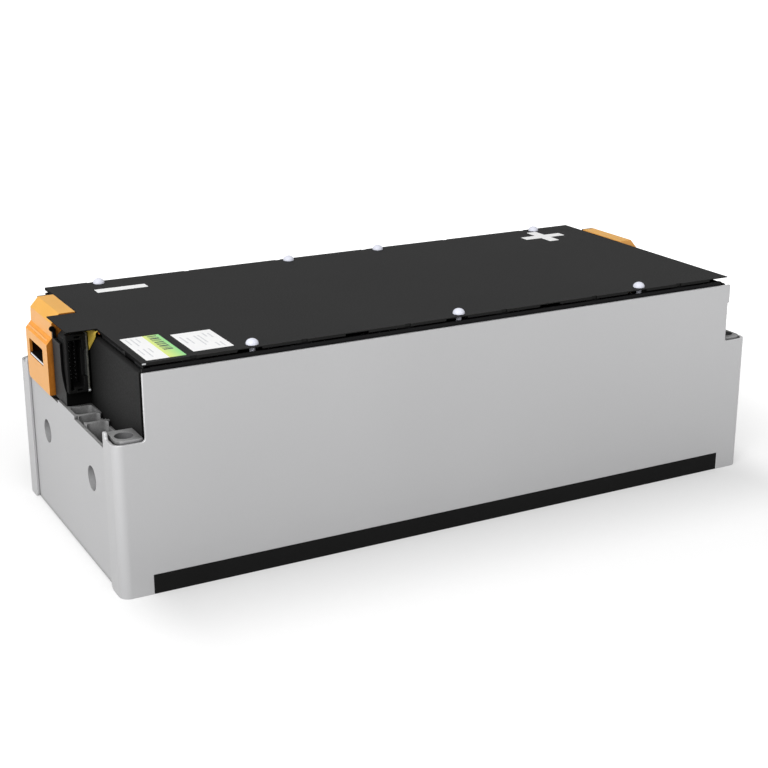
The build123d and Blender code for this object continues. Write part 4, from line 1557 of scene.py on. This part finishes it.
@dataclass
class FlexCircuit(Assembly):
    """The printed strip over the cells, which turns down softly behind the insulator's notch."""

    level: float = 104.15
    crest: float = 107.4
    crest_length: float = 1.0
    half_width: float = 15.0
    neck: Point = (-13.5, 10.4)
    neck_start: float = -146.0
    thickness: float = 0.25
    far_end: float = 150.0
    bend_start: float = -161.8
    tail_x: float = -163.4
    tail_end: tuple[Point, ...] = ((-13.5, 104.8), (-10.8, 102.4), (-1.4, 95.2), (10.4, 95.1))
    steps: int = 8
    strips: int = 24
    drops: tuple[float, ...] = (0.25, 0.5, 0.75, 1.0)
    brown: Block = ((-162.1, -161.8), (-15.6, -13.4), (106.3, 107.4))

    def bottom(self, y: float) -> float:
        """How low the tail hangs.

        Args:
            y: the place along Y in millimetres.

        Returns:
            The height of its lower edge there.
        """
        for (start, high), (end, low) in zip(self.tail_end, self.tail_end[1:]):
            if y <= end:
                return high + (low - high) * (y - start) / (end - start)
        return self.tail_end[-1][1]

    def build(self) -> None:
        """Lay the strip as one soft sheet and give it its thickness."""
        bend, (first, last) = self.bend_start - self.tail_x, self.neck
        across = [first + (last - first) * part / self.strips for part in range(self.strips + 1)]
        parts = [step / self.steps for step in range(self.steps + 1)]
        path, slope = [], self.bend_start + self.crest_length - self.neck_start
        for part in parts:
            rise = (self.crest - self.level) * part * part * (3 - 2 * part)
            path.append((self.neck_start + slope * part, self.level + rise))
        for turn in (math.radians(90 * part) for part in parts):
            path.append((self.bend_start - bend * math.sin(turn), self.crest - bend * (1 - math.cos(turn))))
        places = [[(x, y, z) for y in across] for x, z in path]
        bend_end = self.crest - bend
        for share in self.drops:
            places.append([(self.tail_x, y, bend_end + (self.bottom(y) - bend_end) * share) for y in across])
        shape = Shape()
        rows = [[shape.mesh.verts.new(Vector(place) * MM) for place in row] for row in places]
        for row, after in zip(rows, rows[1:]):
            for index in range(self.strips):
                shape.mesh.faces.new((row[index], row[index + 1], after[index + 1], after[index]))
        strip = oblong((self.neck_start, self.far_end), (-self.half_width, self.half_width), 1.0)
        shape.face(Vector((x, y, self.level)) * MM for x, y in rounded(strip))
        bmesh.ops.recalc_face_normals(shape.mesh, faces=shape.mesh.faces)
        piece = self.stand("flexible_circuit", shape, AMBER_FILM, "flex", ["flex_circuit"], edge=0.0)
        thick = piece.modifiers.new("film", "SOLIDIFY")
        thick.thickness, thick.offset = self.thickness * MM, 0
        self.stand("brown_film_patch", Shape().box(*self.brown), BROWN_FILM, "flex", edge=0.05)


@dataclass
class Studio:
    """The pale floor, the soft lamps, the white surroundings and the camera."""

    eye: Corner = (-0.35399, -0.64935, 0.29574)
    azimuth: float = -28.307
    elevation: float = 18.204
    focal_pixels: float = 1461.5
    floor_half: float = 9.0
    floor_colour: Colour = (0.44, 0.44, 0.44)
    glow_near: float = 0.345
    glow_open: float = 0.23
    glow_far: float = 0.60
    shadow_reach: float = 0.075
    glow_reach: float = 0.6
    shadow_middle: float = 0.0075
    shadow_half: Point = (0.1575, 0.0758)
    end_fall: float = 2.0
    sky: float = 0.66
    lamps: tuple[tuple[str, Corner, float, float], ...] = (
        ("key_lamp", (-0.88, -1.04, 1.08), 0.95, 12.6),
        ("corner_lamp", (-1.5, -0.8, 0.7), 0.9, 10.5),
        ("fill_lamp", (1.2, -1.5, 1.3), 1.5, 0.8),
    )
    aim: Corner = (0.0, 0.0, 0.05)

    def distance(self, nodes: Nodes) -> Socket:
        """How far a spot of the floor is from the patch of painted shadow along the module, in metres.

        Args:
            nodes: where the nodes are laid.

        Returns:
            The distance's socket. Past the patch's ends it grows end_fall times as fast.
        """
        place = nodes.add("TexCoord").outputs["Object"]
        moved = nodes.add("Mapping", place, (-self.shadow_middle, 0.0, 0.0)).outputs[0]
        split = nodes.add("SeparateXYZ", moved).outputs
        past = [
            nodes.spread(nodes.maths("ABSOLUTE", split[axis]), 0.0, FAR * fall, (half, half + FAR))
            for axis, (half, fall) in enumerate(zip(self.shadow_half, (self.end_fall, 1.0)))
        ]
        length = nodes.add("VectorMath", nodes.add("CombineXYZ", *past).outputs[0])
        length.operation = "LENGTH"
        return length.outputs["Value"]

    def floor(self) -> None:
        """Lay the floor: it takes shadows, and its glow to the camera and to reflections is lower near the
        module, a painted shadow round its foot; away from the module the camera sees it as white.
        """
        corners = oblong((-self.floor_half, self.floor_half), (-self.floor_half, self.floor_half))
        shape = Shape()
        shape.face(Vector((x, y, 0)) for x, y, radius in corners)
        mesh = shape.made("floor")
        ground = stood("floor", mesh)
        material = bpy.data.materials.new("pale_floor")
        nodes = Nodes(material)
        nodes.tree.nodes.clear()
        distance = self.distance(nodes)
        level = nodes.maths("ADD", *(
            nodes.spread(distance, start, end, (0.0, reach), "SMOOTHSTEP")
            for reach, start, end in (
                (self.shadow_reach, self.glow_near, self.glow_near + self.glow_open),
                (self.glow_reach, 0.0, self.glow_far),
            )
        ))
        glow = nodes.add("Emission", Strength=nodes.maths("MULTIPLY", level, nodes.watched()))
        surface = nodes.add("BsdfDiffuse", (*self.floor_colour, 1.0))
        both = nodes.add("AddShader", surface.outputs[0], glow.outputs[0])
        nodes.add("OutputMaterial", both.outputs[0])
        mesh.materials.append(material)

    def surroundings(self) -> None:
        """Make the world pale to the camera and to reflections, and dimmer as a light."""
        world = bpy.data.worlds.new("studio")
        bpy.context.scene.world = world
        nodes = Nodes(world)
        nodes.tree.nodes.clear()
        level = nodes.spread(nodes.watched(), self.sky, 1.0, (0.0, 1.0))
        nodes.add("OutputWorld", nodes.add("Background", Strength=level).outputs[0])

    def light(self) -> None:
        """Hang the soft lamps, each aimed at the middle of the module."""
        for name, spot, size, power in self.lamps:
            lamp = bpy.data.lights.new(name, "AREA")
            lamp.shape, lamp.size, lamp.energy = "SQUARE", size, power
            holder = stood(name, lamp)
            holder.location = spot
            holder.rotation_euler = (Vector(self.aim) - Vector(spot)).to_track_quat("-Z", "Y").to_euler()

    def camera(self) -> None:
        """Stand the camera where the photograph was taken from."""
        turn, tilt = math.radians(self.azimuth), math.radians(self.elevation)
        flat = Vector((-math.sin(turn), math.cos(turn), 0)) * math.cos(tilt)
        ahead = flat - Vector((0, 0, math.sin(tilt)))
        right = Vector((math.cos(turn), math.sin(turn), 0))
        up = right.cross(ahead)
        pose = Matrix((right, up, -ahead)).transposed().to_4x4()
        pose.translation = Vector(self.eye)
        lens = bpy.data.cameras.new("photo_camera")
        lens.sensor_width = SENSOR_MM
        lens.lens = self.focal_pixels * SENSOR_MM / PHOTO_PIXELS
        lens.clip_start, lens.clip_end = 0.01, 50.0
        holder = stood("photo_camera", lens)
        holder.matrix_world = pose
        bpy.context.scene.camera = holder

    def build(self) -> None:
        """Set up the whole studio."""
        self.floor()
        self.surroundings()
        self.light()
        self.camera()
        bpy.context.scene.view_settings.view_transform = "Standard"


def dress_nodes(finishes: dict[str, Finish]) -> None:
    """Give the CAD nodes that stay in view their finishes.

    Args:
        finishes: the finish of each node by name.
    """
    for name, finish in finishes.items():
        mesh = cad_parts[name].data
        mesh.materials.clear()
        mesh.materials.append(finish.material())
        LOG.info("%s: solid kept, %s", name, finish.name)


def main() -> None:
    """Build every sub-assembly in turn, then the studio."""
    logging.basicConfig(level=logging.INFO, format="%(name)s: %(message)s")
    builders: list[Callable[[], None]] = [
        *[SidePlate(place).build for place in Place],
        *[EndPlate(end).build for end in End],
        *[Insulator(end).build for end in End],
        Mouldings().build,
        Cover().build,
        Board().build,
        CoverPins().build,
        Stickers().build,
        Contacts().build,
        FlexCircuit().build,
        Studio().build,
    ]
    for build in builders:
        build()
    dress_nodes(NODE_FINISHES)


if __name__ == "__main__":
    main()
